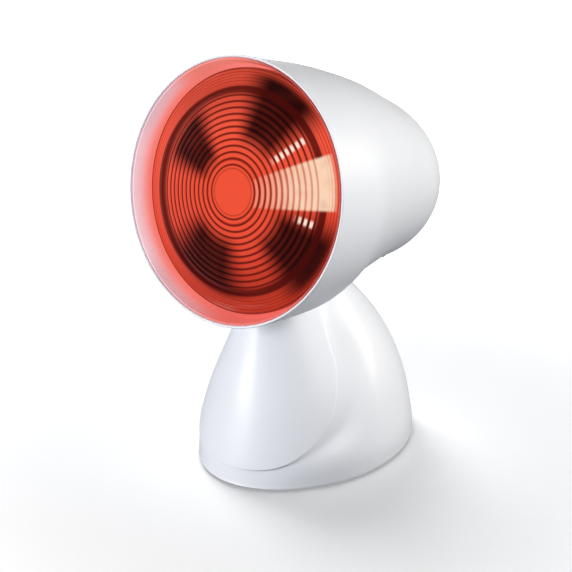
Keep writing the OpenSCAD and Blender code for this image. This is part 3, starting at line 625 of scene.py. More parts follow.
def metal(name, colour, rough, stretch=(1, 1, 1)):
    """Plain or plated metal with fine drawing marks."""
    f = Finish(name, Metallic=1.0)
    grain = f.noise(500, detail=4, rough=0.6, stretch=stretch)
    cloud = f.noise(70, detail=3)
    f.set(Base_Color=f.mix(cloud.step(0.35, 0.7), tone(colour, 0.86), colour))
    f.set(Roughness=grain.step(0.25, 0.75, rough - 0.07, rough + 0.09))
    return f.bump(grain, strength=0.4, distance=0.00002)


def porcelain(name):
    f = Finish(name, IOR=1.5)
    speck = f.noise(600, detail=2)
    f.set(Base_Color=f.mix(speck.step(0.62, 0.74), (0.86, 0.85, 0.80), (0.70, 0.68, 0.62)))
    f.set(Roughness=f.noise(90, detail=2).step(0.3, 0.7, 0.42, 0.58))
    return f.bump(f.noise(900, detail=3), strength=0.5, distance=0.00008)


def cast_metal(name):
    f = Finish(name, Metallic=0.3)
    grain = f.noise(380, detail=5, rough=0.65)
    f.set(Base_Color=f.mix(grain.step(0.3, 0.75), (0.035, 0.036, 0.038), (0.09, 0.09, 0.095)))
    f.set(Roughness=f.noise(120, detail=3).step(0.3, 0.7, 0.5, 0.7))
    return f.bump(grain, strength=0.8, distance=0.0003)


def soft_rubber(name):
    f = Finish(name, IOR=1.45)
    dust = f.noise(240, detail=4)
    f.set(Base_Color=f.mix(dust.step(0.5, 0.8), (0.022, 0.022, 0.023), (0.06, 0.06, 0.06)))
    f.set(Roughness=f.noise(90, detail=2).step(0.3, 0.7, 0.72, 0.88))
    return f.bump(f.noise(1500, detail=2), strength=0.5, distance=0.00008)


BRAID_WAVE = 5200.0
COIL_WAVE = 9000.0


def sleeved_wire(name):
    """Glass-fibre sleeve: a fine crossed braid."""
    f = Finish(name, IOR=1.45)
    x, y, z = f.local(Matrix.Identity(4))
    weave = ((x + z) * BRAID_WAVE).sine() * ((y - z) * BRAID_WAVE).sine()
    f.set(Base_Color=f.mix(weave.step(-0.6, 0.6), (0.02, 0.02, 0.022), (0.10, 0.10, 0.105)))
    f.set(Roughness=weave.step(-1, 1, 0.55, 0.8))
    return f.bump(weave, strength=0.5, distance=0.00008)


def clear_glass(name):
    f = Finish(name, IOR=1.5, Transmission_Weight=1.0, Base_Color=(0.92, 0.95, 0.97))
    f.set(Roughness=f.noise(60, detail=2).step(0.3, 0.7, 0.02, 0.07))
    return f.bump(f.noise(120, detail=2), strength=0.2, distance=0.00005)


def silvered_glass(name):
    f = Finish(name, Metallic=1.0, Coat_Weight=1.0)
    streak = f.noise(40, detail=4, rough=0.6)
    f.set(Base_Color=f.mix(streak.step(0.35, 0.7), (0.70, 0.66, 0.62), (0.86, 0.84, 0.82)))
    f.set(Roughness=f.noise(90, detail=3).step(0.3, 0.7, 0.08, 0.2))
    return f.bump(f.noise(70, detail=3), strength=0.3, distance=0.0001)


def glowing_wire(name):
    f = Finish(name, Metallic=1.0, Roughness=0.4, Emission_Strength=6.0)
    turns = (f.local(HEAD_FRAME)[0] * COIL_WAVE).sine()
    f.set(Emission_Color=f.mix(turns.step(-0.5, 0.5), (1.0, 0.35, 0.08), (1.0, 0.62, 0.25)))
    f.set(Base_Color=f.mix(turns.step(-0.5, 0.5), (0.5, 0.4, 0.3), (0.9, 0.8, 0.7)))
    return f.bump(turns, strength=0.6, distance=0.0001)


# The lens is lit from inside. The liner's glow is painted light: the bulb's red light painted on, with painted
# shade. The lens also carries painted shade, painted glints and a painted reflection. All these are patterns of
# the lens's own radius, in millimetres, and turn, in degrees from the right over the top.
RING_FROM = 19.6
RING_PITCH = 3.1
RING_COUNT = 9
RING_TO = RING_FROM + RING_COUNT * RING_PITCH
CHANNEL_R = 50.2
GLOW_TURN = math.radians(14)
# Painted shade, the reflector's dark patches: turn, half-width, inner and outer radius.
PAINTED_DARK_PATCHES = ((57, 24, 25, 60), (138, 22, 18, 48), (236, 31, 23, 54), (-42, 23, 27, 60))
# Rows of painted glints, short bright bars: turn, inner and outer radius.
PAINTED_GLINTS = ((30, 26, 52), (-21.7, 36, 57))
# A painted reflection, a bright wedge, lies between two straight edges: slope, and height in the middle.
REFLECTION_TOP = (0.263, 2.2)
REFLECTION_FOOT = (-0.073, -7.1)
REFLECTION_SOFT = 0.9
GLASS = {
    "low": (0.74, 0.060, 0.028),
    "high": (0.90, 0.10, 0.052),
    "middle": (0.85, 0.085, 0.038),
    "groove": (0.09, 0.003, 0.002),
    "fine_line": (0.28, 0.013, 0.006),
    # Painted shade over the rings and along the rim.
    "shade": (0.10, 0.004, 0.002),
    # Painted shade of the dark patches, with painted highlights on the ring crests.
    "painted_patch": (0.018, 0.001, 0.001),
    "painted_patch_crest": (0.075, 0.005, 0.002),
    "channel": (0.06, 0.002, 0.001),
    # Painted reflection: a bright wedge with darker ring lines.
    "painted_reflection_tip": (0.86, 0.24, 0.16),
    "painted_reflection": (0.95, 0.66, 0.47),
    "painted_reflection_line": (0.58, 0.11, 0.06),
    # Painted glint.
    "painted_glint": (1.0, 0.80, 0.66),
    "unlit": (0.10, 0.004, 0.002),
    # Painted shade of the dark patches, also in the base colour.
    "painted_unlit_patch": (0.012, 0.001, 0.001),
}
# Colours of the liner's painted light: the bulb's red glow, paler and lavender on the left edge, with painted
# shade.
LINER_PAINTED_LIGHT = {
    "edge": (0.84, 0.25, 0.20),
    "edge_left": (0.80, 0.55, 0.60),
    "edge_low_left": (0.60, 0.34, 0.38),
    "edge_high_left": (0.66, 0.46, 0.53),
    "inside": (0.93, 0.21, 0.17),
    "bottom": (0.62, 0.085, 0.07),
    "top": (0.66, 0.17, 0.15),
    "painted_shade_far_from_right": (0.30, 0.016, 0.010),
    "enamel": (0.10, 0.05, 0.05),
}


def lens_place(f):
    """Across, up, radius, turn and depth on the lens; the pattern is turned by GLOW_TURN."""
    x, d, s = f.local(HEAD_FRAME @ Matrix.Rotation(-GLOW_TURN, 4, "Z"))
    x, up, s = x / MM, d / -MM, s / MM
    r = (x * x + up * up) ** 0.5
    return x, up, r, up.maths("ARCTAN2", x) * (180 / math.pi), s


def turned_from(turn, at):
    """How many degrees a turn lies away from another one."""
    return abs((turn - (at - 180)).remainder(360.0) - 180)


def red_lens(name):
    """Pressed red glass over the lit bulb: rings, with painted shade as the reflector's dark patches, painted
    glints, and a painted reflection as a bright wedge.
    """
    f = Finish(name, IOR=1.45, Specular_IOR_Level=0.35, Emission_Strength=1.0)
    x, up, r, turn, _ = lens_place(f)
    wave = ((r - RING_FROM) / RING_PITCH).remainder(1.0)
    ringed = r.step(RING_FROM - 8, RING_FROM - 6) * r.fall(RING_TO + 0.1, RING_TO + 0.9)
    line = abs(wave - 0.5).step(0.22, 0.42) * ringed
    crest = abs(wave - 0.5).fall(0.16, 0.34) * ringed

    def painted_patch(at, half, inner, outer):
        """Painted shade: a dark patch of the reflector, seen through the glass."""
        angular = turned_from(turn, at).fall(half * 0.45, half * 1.35)
        return angular * r.step(inner - 4, inner + 7) * r.fall(outer - 4, outer + 2)

    painted_patch_shade = painted_patch(*PAINTED_DARK_PATCHES[0])
    for row in PAINTED_DARK_PATCHES[1:]:
        painted_patch_shade = painted_patch_shade.most(painted_patch(*row))
    painted_patch_shade = painted_patch_shade * f.noise(45, detail=1).step(0.3, 0.6, 0.93, 1.0)
    # Painted shade: darker over the rings towards the bottom and the top.
    shade = r.step(28, 50) * turned_from(turn, 275).fall(30, 80) * 0.4
    shade = shade.most(r.step(30, 52) * turned_from(turn, 95).fall(25, 60) * 0.35)

    left = turned_from(turn, 180).fall(15, 75)
    band_end = r.fall(left * 2.4 + 51.4, left * 2.4 + 52.8)
    band = r.step(CHANNEL_R - 2.6, CHANNEL_R - 1) * band_end
    outer_lines = (r * 4.3).sine().step(0.0, 0.9) * r.step(52.5, 53.5) * 0.5
    # Painted shade along the rim.
    painted_rim_shade = r.step(59.2, 60.6) * 0.8
    inner_rings = r.hump(11.6, 0.6) * 0.55 + r.hump(15.9, 0.6) * 0.75

    # Painted reflection: a bright wedge on the right of the lens.
    slope, height = REFLECTION_TOP
    under_top = (x * slope + height - up).step(-REFLECTION_SOFT, REFLECTION_SOFT)
    slope, height = REFLECTION_FOOT
    over_foot = (up - height - x * slope).step(-REFLECTION_SOFT, REFLECTION_SOFT)
    in_painted_reflection = under_top * over_foot * x.step(9, 14) * r.fall(54.5, 57.5)

    def painted_glint(at, inner, outer):
        """Painted highlights: short bright bars on the crests of the rings."""
        across = turned_from(turn, at) * r * (math.pi / 180)
        return across.fall(0.6, 2.6) * r.step(inner, inner + 5) * r.fall(outer - 2, outer)

    painted_glints = painted_glint(*PAINTED_GLINTS[0]).most(painted_glint(*PAINTED_GLINTS[1])) * crest

    red = f.mix(up.step(-50, 50), GLASS["low"], GLASS["high"])
    red = f.mix(r.step(8, 40), GLASS["middle"], red)
    red = f.mix((line * 0.88).least(1.0), red, GLASS["groove"])
    red = f.mix((inner_rings + outer_lines).least(1.0), red, GLASS["fine_line"])
    # Painted shade over the rings and along the rim.
    red = f.mix(shade.most(painted_rim_shade), red, GLASS["shade"])
    # Painted shade of the dark patches, with painted highlights on the ring crests.
    red = f.mix(painted_patch_shade, red, f.mix(crest * 0.8, GLASS["painted_patch"], GLASS["painted_patch_crest"]))
    red = f.mix(band * 0.9, red, GLASS["channel"])
    # Colour of the painted reflection, broken by the ring lines and streaks.
    painted_reflection = f.mix(x.step(12, 40), GLASS["painted_reflection_tip"], GLASS["painted_reflection"])
    lines = line.most(outer_lines * 1.2)
    painted_reflection = f.mix(lines * x.step(15, 48, 1.0, 0.6), painted_reflection, GLASS["painted_reflection_line"])
    streak = f.noise(160, detail=2).step(0.3, 0.6, 0.84, 1.0)
    solid = crest.most(x.step(14, 38))
    red = f.mix(in_painted_reflection * streak * solid, red, painted_reflection)
    # Painted glints over the glow.
    f.set(Emission_Color=f.mix(painted_glints, red, GLASS["painted_glint"]))
    # The painted dark patches are also painted into the glass's base colour.
    f.set(Base_Color=f.mix(painted_patch_shade, GLASS["unlit"], GLASS["painted_unlit_patch"]))
    f.set(Roughness=line.step(0, 1, 0.16, 0.3))
    return f


def liner_with_painted_glow(name):
    """White enamel with the bulb's red light painted on, least along its outer edge on the left, with painted
    shade away from the right.
    """
    f = Finish(name, IOR=1.5, Specular_IOR_Level=0.3, Emission_Strength=0.9)
    _, _, _, turn, s = lens_place(f)

    def near(at, start, end):
        """One at a turn, falling away from start to end degrees off it."""
        return turned_from(turn, at).fall(start, end)

    inward = s.step(0.5, 12.0)
    # Painted light of the bulb, paler along the outer edge on the left.
    edge = f.mix(near(186, 22, 78), LINER_PAINTED_LIGHT["edge"], LINER_PAINTED_LIGHT["edge_left"])
    edge = f.mix(near(232, 8, 30) * 0.8, edge, LINER_PAINTED_LIGHT["edge_low_left"])
    painted_bulb_light = f.mix(inward, edge, LINER_PAINTED_LIGHT["inside"])
    painted_bulb_light = f.mix(near(135, 6, 24) * (1 - inward) * 0.7, painted_bulb_light, LINER_PAINTED_LIGHT["edge_high_left"])
    # Painted shade at the bottom and the top.
    painted_bulb_light = f.mix(near(275, 10, 50) * 0.8, painted_bulb_light, LINER_PAINTED_LIGHT["bottom"])
    painted_bulb_light = f.mix(near(97, 5, 30) * 0.7, painted_bulb_light, LINER_PAINTED_LIGHT["top"])
    # Painted shade: darker away from the right.
    painted_bulb_light = f.mix(near(10, 50, 85), painted_bulb_light, LINER_PAINTED_LIGHT["painted_shade_far_from_right"])
    f.set(Emission_Color=painted_bulb_light)
    # The painted light also tints the base colour.
    f.set(Base_Color=f.mix(0.75, painted_bulb_light, LINER_PAINTED_LIGHT["enamel"]))
    f.set(Roughness=f.noise(300, detail=2).step(0.3, 0.7, 0.25, 0.33))
    return f.bump(f.noise(1200, detail=2), strength=0.1, distance=0.00001)


WHITE = (0.80, 0.82, 0.87)
finishes = {
    "white_shell": moulded_white("white_shell", WHITE, 0.4, 0.12),
    "white_panel": moulded_white("white_panel", (0.79, 0.81, 0.86), 0.42, 0.1),
    "liner": liner_with_painted_glow("liner"),
    "red_glass": red_lens("red_glass"),
    "silvered_glass": silvered_glass("silvered_glass"),
    "clear_glass": clear_glass("clear_glass"),
    "bulb_metal": metal("bulb_metal", (0.72, 0.72, 0.74), 0.32),
    "filament": glowing_wire("filament"),
    "ceramic": porcelain("ceramic"),
    "brass": metal("brass", (0.78, 0.60, 0.30), 0.28),
    "steel": metal("steel", (0.66, 0.67, 0.69), 0.30, (1, 1, 6)),
    "sheet_aluminium": metal("sheet_aluminium", (0.80, 0.81, 0.83), 0.24, (1, 8, 1)),
    "cast_iron": cast_metal("cast_iron"),
    "grey_plastic": matt_plastic("grey_plastic", (0.42, 0.43, 0.45), 0.5),
    "black_plastic": matt_plastic("black_plastic", (0.022, 0.022, 0.024), 0.42),
    "rubber": soft_rubber("rubber"),
    "wire_sleeve": sleeved_wire("wire_sleeve"),
}


def material(slot):
    return finishes[slot].material


for part in frame["record"]["subparts"]:
    node = NODES[part["node"]]
    node.data.materials.clear()
    node.data.materials.append(material(part["material_slot"]))

# ---------------------------------------------------------------- head


def head_form(name, rings):
    """A form laid on the head's sections: rings holds (depth, radius), from its tail forwards."""

    def place(turn, ring):
        s, r = rings[ring]
        a = math.radians(turn)
        return from_head(r * math.sin(a), -r * math.cos(a) - head_lift(s), s)

    return pulled_skin(name, 144, len(rings), place)


def at_yoke(x, y):
    """The frame of one yoke screw: on the tilt axis's height, z upwards."""
    return Matrix.Translation((x, TILT_AXIS.y + y, TILT_AXIS.z))


SLOT_W = 40 * MM
SLOT_FRONT = 14.5 * MM
SLOT_BACK = 36 * MM
YOKE_SCREWS = [(x * MM, y * MM) for x in (-24, 24) for y in (-10, 19)]
BOSS_R = 4.2 * MM
BOSS_TOP = 5.5 * MM
COUNTERBORE_R = 3.1 * MM
COUNTERBORE_TOP = 2.8 * MM
SHANK_HOLE_R = 1.7 * MM
SCREW_REACH = 12 * MM
BOSS_FROM = -8 * MM
FILLING_FROM = 20 * MM
SLOT_H = 26 * MM
SLOT_DOWN = 7 * MM
VENT_COUNT = 5
VENT_PITCH = 5.2 * MM
VENT_UNDER = 22 * MM
VENT_DEPTH = 134 * MM
VENT_LEAN = math.radians(58)
VENT_SIZE = (2.6 * MM, 20 * MM, 24 * MM)
VENT_MID = (0, -3 * MM, 0)
VENT_CORNER = 1.2 * MM


def head_cover():
    """The bullet-shaped shell with a rolled lip, the slot for the neck and the cooling slots."""
    lip = RIM_WALL / 2
    quarter = [math.sin(math.radians(i)) for i in range(90, 0, -1)]
    outer = [(HEAD_LEN * q, head_r(HEAD_LEN * q)) for q in quarter if HEAD_LEN * q > lip]
    roll = []
    for a in range(0, 181, 20):
        s = lip * (1 - math.sin(math.radians(a)))
        roll.append((s, head_r(s) - lip * (1 - math.cos(math.radians(a)))))
    inner_len = HEAD_LEN - HEAD_WALL
    behind = [v * RIM_TAPER for v in (0.15, 0.3, 0.45, 0.6, 0.75)]
    behind += [inner_len * q for q in reversed(quarter[::2]) if inner_len * q > RIM_TAPER * 0.85]
    shell = head_form("head_cover", outer + roll + [(s, head_inner_r(s)) for s in behind])

    middle = HEAD_WALL / 2
    depths = [(HEAD_LEN - middle) * q for q in quarter[::3]]
    rings = [(s, head_r(s, middle)) for s in depths if s > FILLING_FROM] + [(FILLING_FROM, 0)]
    filling = head_form("filling", rings)
    bosses = [rod("boss", BOSS_R, BOSS_FROM, BOSS_TOP, at_yoke(*p)) for p in YOKE_SCREWS]
    for boss in bosses:
        cut(shell, cut(boss, copy_of(filling), operation="INTERSECT"), operation="UNION")
    bpy.data.objects.remove(filling)

    slot_size = (SLOT_W, SLOT_FRONT + SLOT_BACK, SLOT_H)
    slot_y = TILT_AXIS.y + (SLOT_BACK - SLOT_FRONT) / 2
    cut(shell, block("slot", slot_size, (0, slot_y, TILT_AXIS.z - SLOT_DOWN)))
    for p in YOKE_SCREWS:
        cut(shell, rod("counterbore", COUNTERBORE_R, -SCREW_REACH, COUNTERBORE_TOP, at_yoke(*p)))
        cut(shell, rod("shank", SHANK_HOLE_R, -SCREW_REACH, SCREW_REACH, at_yoke(*p)))
    for i in range(VENT_COUNT):
        x = (i - (VENT_COUNT - 1) / 2) * VENT_PITCH
        at = HEAD_FRAME @ Matrix.Translation((x, VENT_UNDER, VENT_DEPTH))
        at = at @ Matrix.Rotation(VENT_LEAN, 4, "X")
        cut(shell, block("vent", VENT_SIZE, VENT_MID, at, corner=VENT_CORNER))
    smooth_shade(shell)
    return shell


shell = head_cover()
finish(shell, "head", "white_shell", material("white_shell"), "head_shell")

LINER_FROM = 0.6 * MM
LINER_END = 35.2 * MM
LINER_T = 1.0 * MM
LINER_CLEAR = 0.35 * MM
LINER_LIP = 5 * MM


def liner_ring():
    """The thin ring inside the rim, with a round front edge and a lip turned in at its back."""
    depths = spread(LINER_FROM, LINER_END, 30)

    def outer_r(s):
        return head_inner_r(s) - head_lift(s) - LINER_CLEAR

    half = LINER_T / 2
    front = []
    for a in range(0, 181, 30):
        r = outer_r(LINER_FROM) - half + half * math.cos(math.radians(a))
        front.append((r, LINER_FROM + half - half * math.sin(math.radians(a))))
    outer = [(outer_r(s), s) for s in depths if s > LINER_FROM + half]
    inner = [(outer_r(s) - LINER_T, s) for s in depths[:-1] if s > LINER_FROM + half]
    back = depths[-1]
    lip_r = outer_r(back) - LINER_LIP
    lip = [(lip_r, back), (lip_r - 0.2 * MM, back - half), (lip_r, back - LINER_T)]
    profile = list(reversed(outer)) + front + inner
    profile += [(outer_r(back) - LINER_T - 0.6 * MM, back - LINER_T)] + list(reversed(lip))
    profile.append(profile[0])
    return revolved("liner_ring", profile)


liner = liner_ring()
finish(liner, "head", "liner", material("liner"), "shade_liner")

BULB_SETBACK = 0.2 * MM
DOME_H = 10 * MM
LENS_T = 3.2 * MM
FLANGE_T = 4 * MM
BULB_R = box_size("bulb_lens").x / 2
DOME_EDGE = BULB_R - 3 * MM
DOME_R = (DOME_EDGE**2 + DOME_H**2) / (2 * DOME_H)
RIPPLE = 0.12 * MM
RIPPLE_PITCH = 4 * MM
RING_DEPTH = 0.5 * MM
RING_STEPS = 10
GROOVE_R = 50.6 * MM
GROOVE_REACH = 1.5 * MM
GROOVE_DEPTH = 0.8 * MM
FLANGE_EDGE = 0.8 * MM


def dome(r):
    return BULB_SETBACK + DOME_R - math.sqrt(DOME_R**2 - r**2)


def lens_glass():
    """The pressed lens: fine round rings, a groove round them and a thick flange."""
    ring_from, pitch = RING_FROM * MM, RING_PITCH * MM
    ring_to = ring_from + RING_COUNT * pitch
    points = []
    for r in spread(0, ring_from, 22)[:-1]:
        ripple = 0.5 - 0.5 * math.cos(2 * math.pi * r / RIPPLE_PITCH)
        points.append((r, dome(r) + RIPPLE * ripple))
    for i in range(RING_COUNT * RING_STEPS + 1):
        r = ring_from + i * pitch / RING_STEPS
        wave = abs(math.sin(math.pi * i / RING_STEPS)) ** 0.7
        points.append((r, dome(r) + RING_DEPTH * (1 - wave)))
    for r in spread(ring_to, DOME_EDGE, 16)[1:]:
        groove = math.exp(-(((r - GROOVE_R) / GROOVE_REACH) ** 2))
        points.append((r, dome(r) + GROOVE_DEPTH * groove))
    flange_s = BULB_SETBACK + DOME_H
    for a in range(0, 91, 18):
        r = BULB_R - FLANGE_EDGE + FLANGE_EDGE * math.sin(math.radians(a))
        points.append((r, flange_s + FLANGE_EDGE - FLANGE_EDGE * math.cos(math.radians(a))))
    points.append((BULB_R, flange_s + FLANGE_T))
    hollow = DOME_EDGE - 1.5 * MM
    points.append((hollow, flange_s + FLANGE_T))
    for r in spread(hollow, 0, 12):
        points.append((r, dome(r * DOME_EDGE / hollow) + LENS_T))
    return revolved("lens_glass", points, shade_angle=50)


lens = lens_glass()
finish(lens, "head", "red_glass", material("red_glass"), "bulb_lens")

# ---------------------------------------------------------------- foot


ROOF_SOFT = 1.6 * MM
FOOT_LIP = 0.6 * MM
POCKET_DEEP = 30 * MM
HOLE_DEEP = 8 * MM
HOLE_MID = -3 * MM
NECK_HOLE = (25.7 * MM, 15.7 * MM, 40 * MM)
NECK_HOLE_DOWN = 10 * MM


def foot_cover():
    """The oval foot: one skin from the roof down to the edge on the table and up inside."""
    path = [("roof", share, 0.0) for share in (0, 0.25, 0.5, 0.75, 0.9)]
    path += [("round", a, 0.0) for a in range(90, -1, -15)]
    path += [("wall", share, 0.0) for share in spread(0.985, 0.012, 60)]
    path += [("edge", a, 0.0) for a in range(0, 181, 30)]
    path += [("wall", share, FOOT_WALL) for share in spread(0.02, 1.0, 20)]
    path += [("roof", share, FOOT_WALL) for share in (0.8, 0.4, 0)]
    middle = FOOT_WALL / 2
    filling_path = [("roof", share, middle) for share in (0, 0.4, 0.8)]
    filling_path += [("wall", share, middle) for share in spread(1.0, 0.02, 30)]
    filling_path.append(("floor", 0, 0.0))

    def wall_point(turn, share, inset, drop=0.0):
        a = foot_point(turn, share * roof_z(FOOT_Y), inset)
        b = foot_point(turn, FOOT_EDGE_Z + share * (roof_z(a.y) - drop - FOOT_EDGE_Z), inset)
        z = FOOT_EDGE_Z + share * (roof_z(b.y) - drop - FOOT_EDGE_Z)
        return foot_point(turn, z, inset + set_in(turn, z))

    def point(turn, kind, value, inset):
        drop = ROOF_T * inset / FOOT_WALL
        if kind == "floor":
            return Vector((0, FOOT_Y, FOOT_EDGE_Z))
        if kind == "wall":
            p = wall_point(turn, value, inset, drop)
            return Vector((p.x, p.y, roof_z(p.y) - drop)) if value == 1 else p
        if kind == "edge":
            a = math.radians(value)
            inset = FOOT_WALL / 2 * (1 - math.cos(a))
            p = wall_point(turn, 0.0, inset)
            return p + Vector((0, 0, FOOT_LIP * (1 - math.sin(a))))
        if kind == "round":
            a = math.radians(value)
            p = wall_point(turn, 1.0, ROOF_SOFT * (1 - math.cos(a)))
            return Vector((p.x, p.y, roof_z(p.y) - ROOF_SOFT * (1 - math.sin(a))))
        edge = wall_point(turn, 1.0, inset + ROOF_SOFT, drop)
        y = edge.y * value
        return Vector((edge.x * value, y, roof_z(y) - drop))

    def skin(name, rings):
        return pulled_skin(name, 180, len(rings), lambda turn, ring: point(turn, *rings[ring]))

    cover = skin("foot_cover", path)
    size = (PANEL_W + 2 * FRAME_T, PANEL_H + 2 * FRAME_T, POCKET_DEEP)
    centre = (0, 0, POCKET_DEEP / 2 - PANEL_T - FRAME_T)
    corner = PANEL_CORNER + FRAME_T
    panel_frame = block("panel_frame", size, centre, BACK_FRAME, corner)
    cut(panel_frame, skin("filling", filling_path), operation="INTERSECT")
    cut(cover, panel_frame, operation="UNION")
    size = (PANEL_W + 2 * PANEL_GAP, PANEL_H + 2 * PANEL_GAP, POCKET_DEEP)
    centre = (0, 0, POCKET_DEEP / 2 - PANEL_T)
    corner = PANEL_CORNER + PANEL_GAP
    neck_at = (0, TILT_AXIS.y, TILT_AXIS.z - NECK_HOLE_DOWN)
    holes = [
        block("pocket", size, centre, BACK_FRAME, corner),
        block("switch_hole", (*SWITCH_HOLE, HOLE_DEEP), (0, SWITCH_Y, HOLE_MID), BACK_FRAME),
        block("inlet_hole", (*INLET_HOLE, HOLE_DEEP), (0, INLET_Y, HOLE_MID), BACK_FRAME),
        block("neck_hole", NECK_HOLE, neck_at),
    ]
    cut(cover, *holes)
    smooth_shade(cover)
    return cover


cover = foot_cover()
finish(cover, "foot", "white_shell", material("white_shell"), "base_shell")


LEAF_MIDDLE = 0.42
LEAF_EDGE = 0.5 * MM
LEAF_EDGE_SHARE = 0.012
LEAF_UNDER_ROOF = 0.3 * MM
OUT_SHARES = (0, 0.05, 0.12, 0.2, 0.3, 0.4, 0.5, 0.6, 0.7, 0.78, 0.85, 0.91, 0.96, 0.985)
UNDER_SHARES = (1.0, 0.97, 0.9, 0.8, 0.65, 0.5, 0.3, 0.15, 0)


def leaf_cover():
    """The leaf-shaped panel laid on the foot, with a rounded edge."""
    right = [(smooth(LEAF_ROWS, f, 1), f) for f in spread(0, 1, 60, 1.8)]
    top = [(right[-1][0] * (1 - i / 12), 1.0) for i in range(1, 24)]
    left = [(-x, f) for x, f in reversed(right[1:])]
    outline = right + top + left
    sides = len(outline)
    path = [("out", k) for k in OUT_SHARES]
    path += [("bend", a) for a in (0, 22, 45, 68, 90)]
    path += [("under", k) for k in UNDER_SHARES]

    def spot(share_x, share_z, inset):
        z = LEAF_Z + share_z * LEAF_H
        turn = turn_of(share_x * LEAF_W / 2, z)
        return foot_point(turn, z, inset(turn, z))

    def place(turn, ring):
        x, f = outline[round(turn / 360 * sides) % sides]
        kind, value = path[ring]
        a = math.radians(value)
        share = 1 - (1 - math.sin(a)) * LEAF_EDGE_SHARE if kind == "bend" else value
        at = (x * share, LEAF_MIDDLE + (f - LEAF_MIDDLE) * share)
        if kind == "bend":
            return spot(*at, lambda t, z: LEAF_EDGE * (1 - math.cos(a)))
        if kind == "out":
            return spot(*at, lambda t, z: 0.0)
        return spot(*at, lambda t, z: set_in(t, z) - LEAF_GAP)

    piece = pulled_skin("leaf_cover", sides, len(path), place)
    take(piece)
    bpy.ops.object.mode_set(mode="EDIT")
    bpy.ops.mesh.select_all(action="SELECT")
    normal = (0, -math.sin(ROOF_SLOPE), math.cos(ROOF_SLOPE))
    on_roof = (0, TILT_AXIS.y, roof_z(TILT_AXIS.y) - LEAF_UNDER_ROOF)
    bpy.ops.mesh.bisect(plane_co=on_roof, plane_no=normal, clear_outer=True, use_fill=True)
    bpy.ops.object.mode_set(mode="OBJECT")
    smooth_shade(piece)
    return piece


leaf = leaf_cover()
finish(leaf, "foot", "white_panel", material("white_panel"), "front_panel")

# ---------------------------------------------------------------- small moulded pieces

# New piece, node it stands for, body, finish, width of its softened edges in millimetres.
SOFTENED = [
    ("switch_panel", "back_panel", "foot", "white_panel", 0.35),
    ("switch_surround", "switch_housing", "foot", "black_plastic", 0.35),
    ("switch_key", "switch_rocker", "rocker", "black_plastic", 0.5),
    ("power_inlet", "inlet_socket", "foot", "black_plastic", 0.35),
    ("bottom_cover", "bottom_plate", "foot", "grey_plastic", 0.5),
    ("foot_pads", "rubber_feet", "foot", "rubber", 0.4),
    ("neck", "neck_post", "foot", "grey_plastic", 0.4),
]
for name, node, body, slot, edge in SOFTENED:
    finish(copy_of_node(name, node, edge * MM), body, slot, material(slot), node)

# ---------------------------------------------------------------- stage and light

FLOOR_NEAR = (0.33, 0.33, 0.33)
FLOOR_FAR = (0.97, 0.97, 0.97)
FLOOR_FLAT = 2.4
COVE_R = 0.6
WALL_TOP = 4.0
# Colour of the air round the stage: share of the way from straight down to straight up, colour.
AIR = [(0.42, (0.075, 0.086, 0.105)), (0.62, (0.08, 0.08, 0.084))]


def make_floor():
    """A pale floor that turns up into a wall, and is left out of the lamp's own reflections."""
    rows = [(r, 0) for r in (0, 0.5, 1, 1.6, FLOOR_FLAT)]
    for a in (22, 45, 68, 90):
        r = FLOOR_FLAT + COVE_R * math.sin(math.radians(a))
        rows.append((r, COVE_R - COVE_R * math.cos(math.radians(a))))
    rows.append((FLOOR_FLAT + COVE_R, WALL_TOP))

    def place(turn, ring):
        r, z = rows[ring]
        a = math.radians(turn)
        return Vector((r * math.sin(a), -r * math.cos(a), z))

    floor = pulled_skin("floor", 96, len(rows), place)
    f = Finish("floor", Roughness=0.8, Base_Color=(0.86, 0.87, 0.88), Specular_IOR_Level=0.0)
    x, y, _ = f.local(Matrix.Identity(4))
    away = ((x * x + y * y) ** 0.5).step(0.12, 0.42)
    f.set(Emission_Color=f.mix(away, FLOOR_NEAR, FLOOR_FAR))
    f.set(Emission_Strength=1.0)
    floor.data.materials.append(f.material)
    floor.visible_diffuse = False
    floor.visible_glossy = False
    floor.visible_shadow = False
    return floor


LIGHTS_LOOK_AT = Vector((0, -0.02, 0.12))
LIGHT_AWAY = 1.2


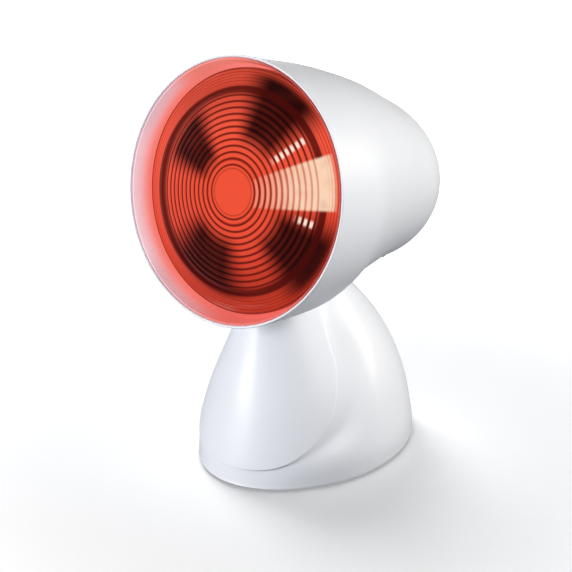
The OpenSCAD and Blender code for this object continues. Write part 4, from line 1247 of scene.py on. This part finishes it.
def softbox(name, turn, height, size, strength, colour):
    """A soft light; turn goes from the front over the right, both angles are in degrees."""
    a, b = math.radians(turn), math.radians(height)
    way = Vector((math.sin(a) * math.cos(b), -math.cos(a) * math.cos(b), math.sin(b)))
    data = bpy.data.lights.new(name, "AREA")
    data.shape = "RECTANGLE"
    data.size, data.size_y = size
    data.energy = strength * (math.pi * LIGHT_AWAY) ** 2
    data.color = colour
    light = bpy.data.objects.new(name, data)
    light.location = LIGHTS_LOOK_AT + LIGHT_AWAY * way
    light.rotation_euler = (-way).to_track_quat("-Z", "Y").to_euler()
    bpy.context.scene.collection.objects.link(light)
    return light


def group_of(name, pieces, state):
    """A group for a light to reach alone (INCLUDE), or to leave out (EXCLUDE)."""
    group = bpy.data.collections.new(name)
    for piece in pieces:
        group.objects.link(piece)
    for entry in group.collection_objects:
        entry.light_linking.link_state = state
    return group


def make_air():
    """A dim studio round the stage, a little bluer from below."""
    world = bpy.data.worlds.new("studio")
    world.use_nodes = True
    net = Net(world.node_tree)
    up = net.parts(net.node("ShaderNodeTexCoord", output="Generated"))[2]
    share = net.node("ShaderNodeMapRange", {}, {0: up, 1: -1})
    air = net.node("ShaderNodeValToRGB", {"stops": AIR}, {0: share})
    net.feed(net.tree.nodes["Background"].inputs[0], air)
    bpy.context.scene.world = world


def make_light(floor):
    """Four soft lights for the lamp, and two for the floor, where the foot alone casts shadow."""
    head = [NODES[node] for node in frame["record"]["behaviour"]["bodies"]["head"]]
    head += [shell, liner, lens]
    no_floor = group_of("no_floor", [floor], "EXCLUDE")
    no_floor_or_lens = group_of("no_floor_or_lens", [floor, lens], "EXCLUDE")
    floor_alone = group_of("floor_alone", [floor], "INCLUDE")
    no_head = group_of("no_head", head, "EXCLUDE")
    white, warm = (1, 1, 1), (1.0, 0.95, 0.84)
    for light, reach, shadow_of in (
        (softbox("front_left", 337, 11, (0.7, 0.5), 1.05, white), no_floor_or_lens, None),
        (softbox("right", 96, 28, (0.6, 0.6), 0.62, white), no_floor, None),
        (softbox("right_back", 140, 18, (0.6, 0.5), 0.60, warm), no_floor, None),
        (softbox("back_left", 232, 12, (0.7, 0.5), 0.45, white), no_floor, None),
        (softbox("floor_back_left", 246, 40, (0.6, 0.6), 0.80, white), floor_alone, no_head),
        (softbox("floor_top", 180, 75, (0.6, 0.6), 0.18, white), floor_alone, no_head),
    ):
        light.light_linking.receiver_collection = reach
        light.light_linking.blocker_collection = shadow_of


make_air()
make_light(make_floor())
bpy.context.scene.view_settings.view_transform = "Standard"
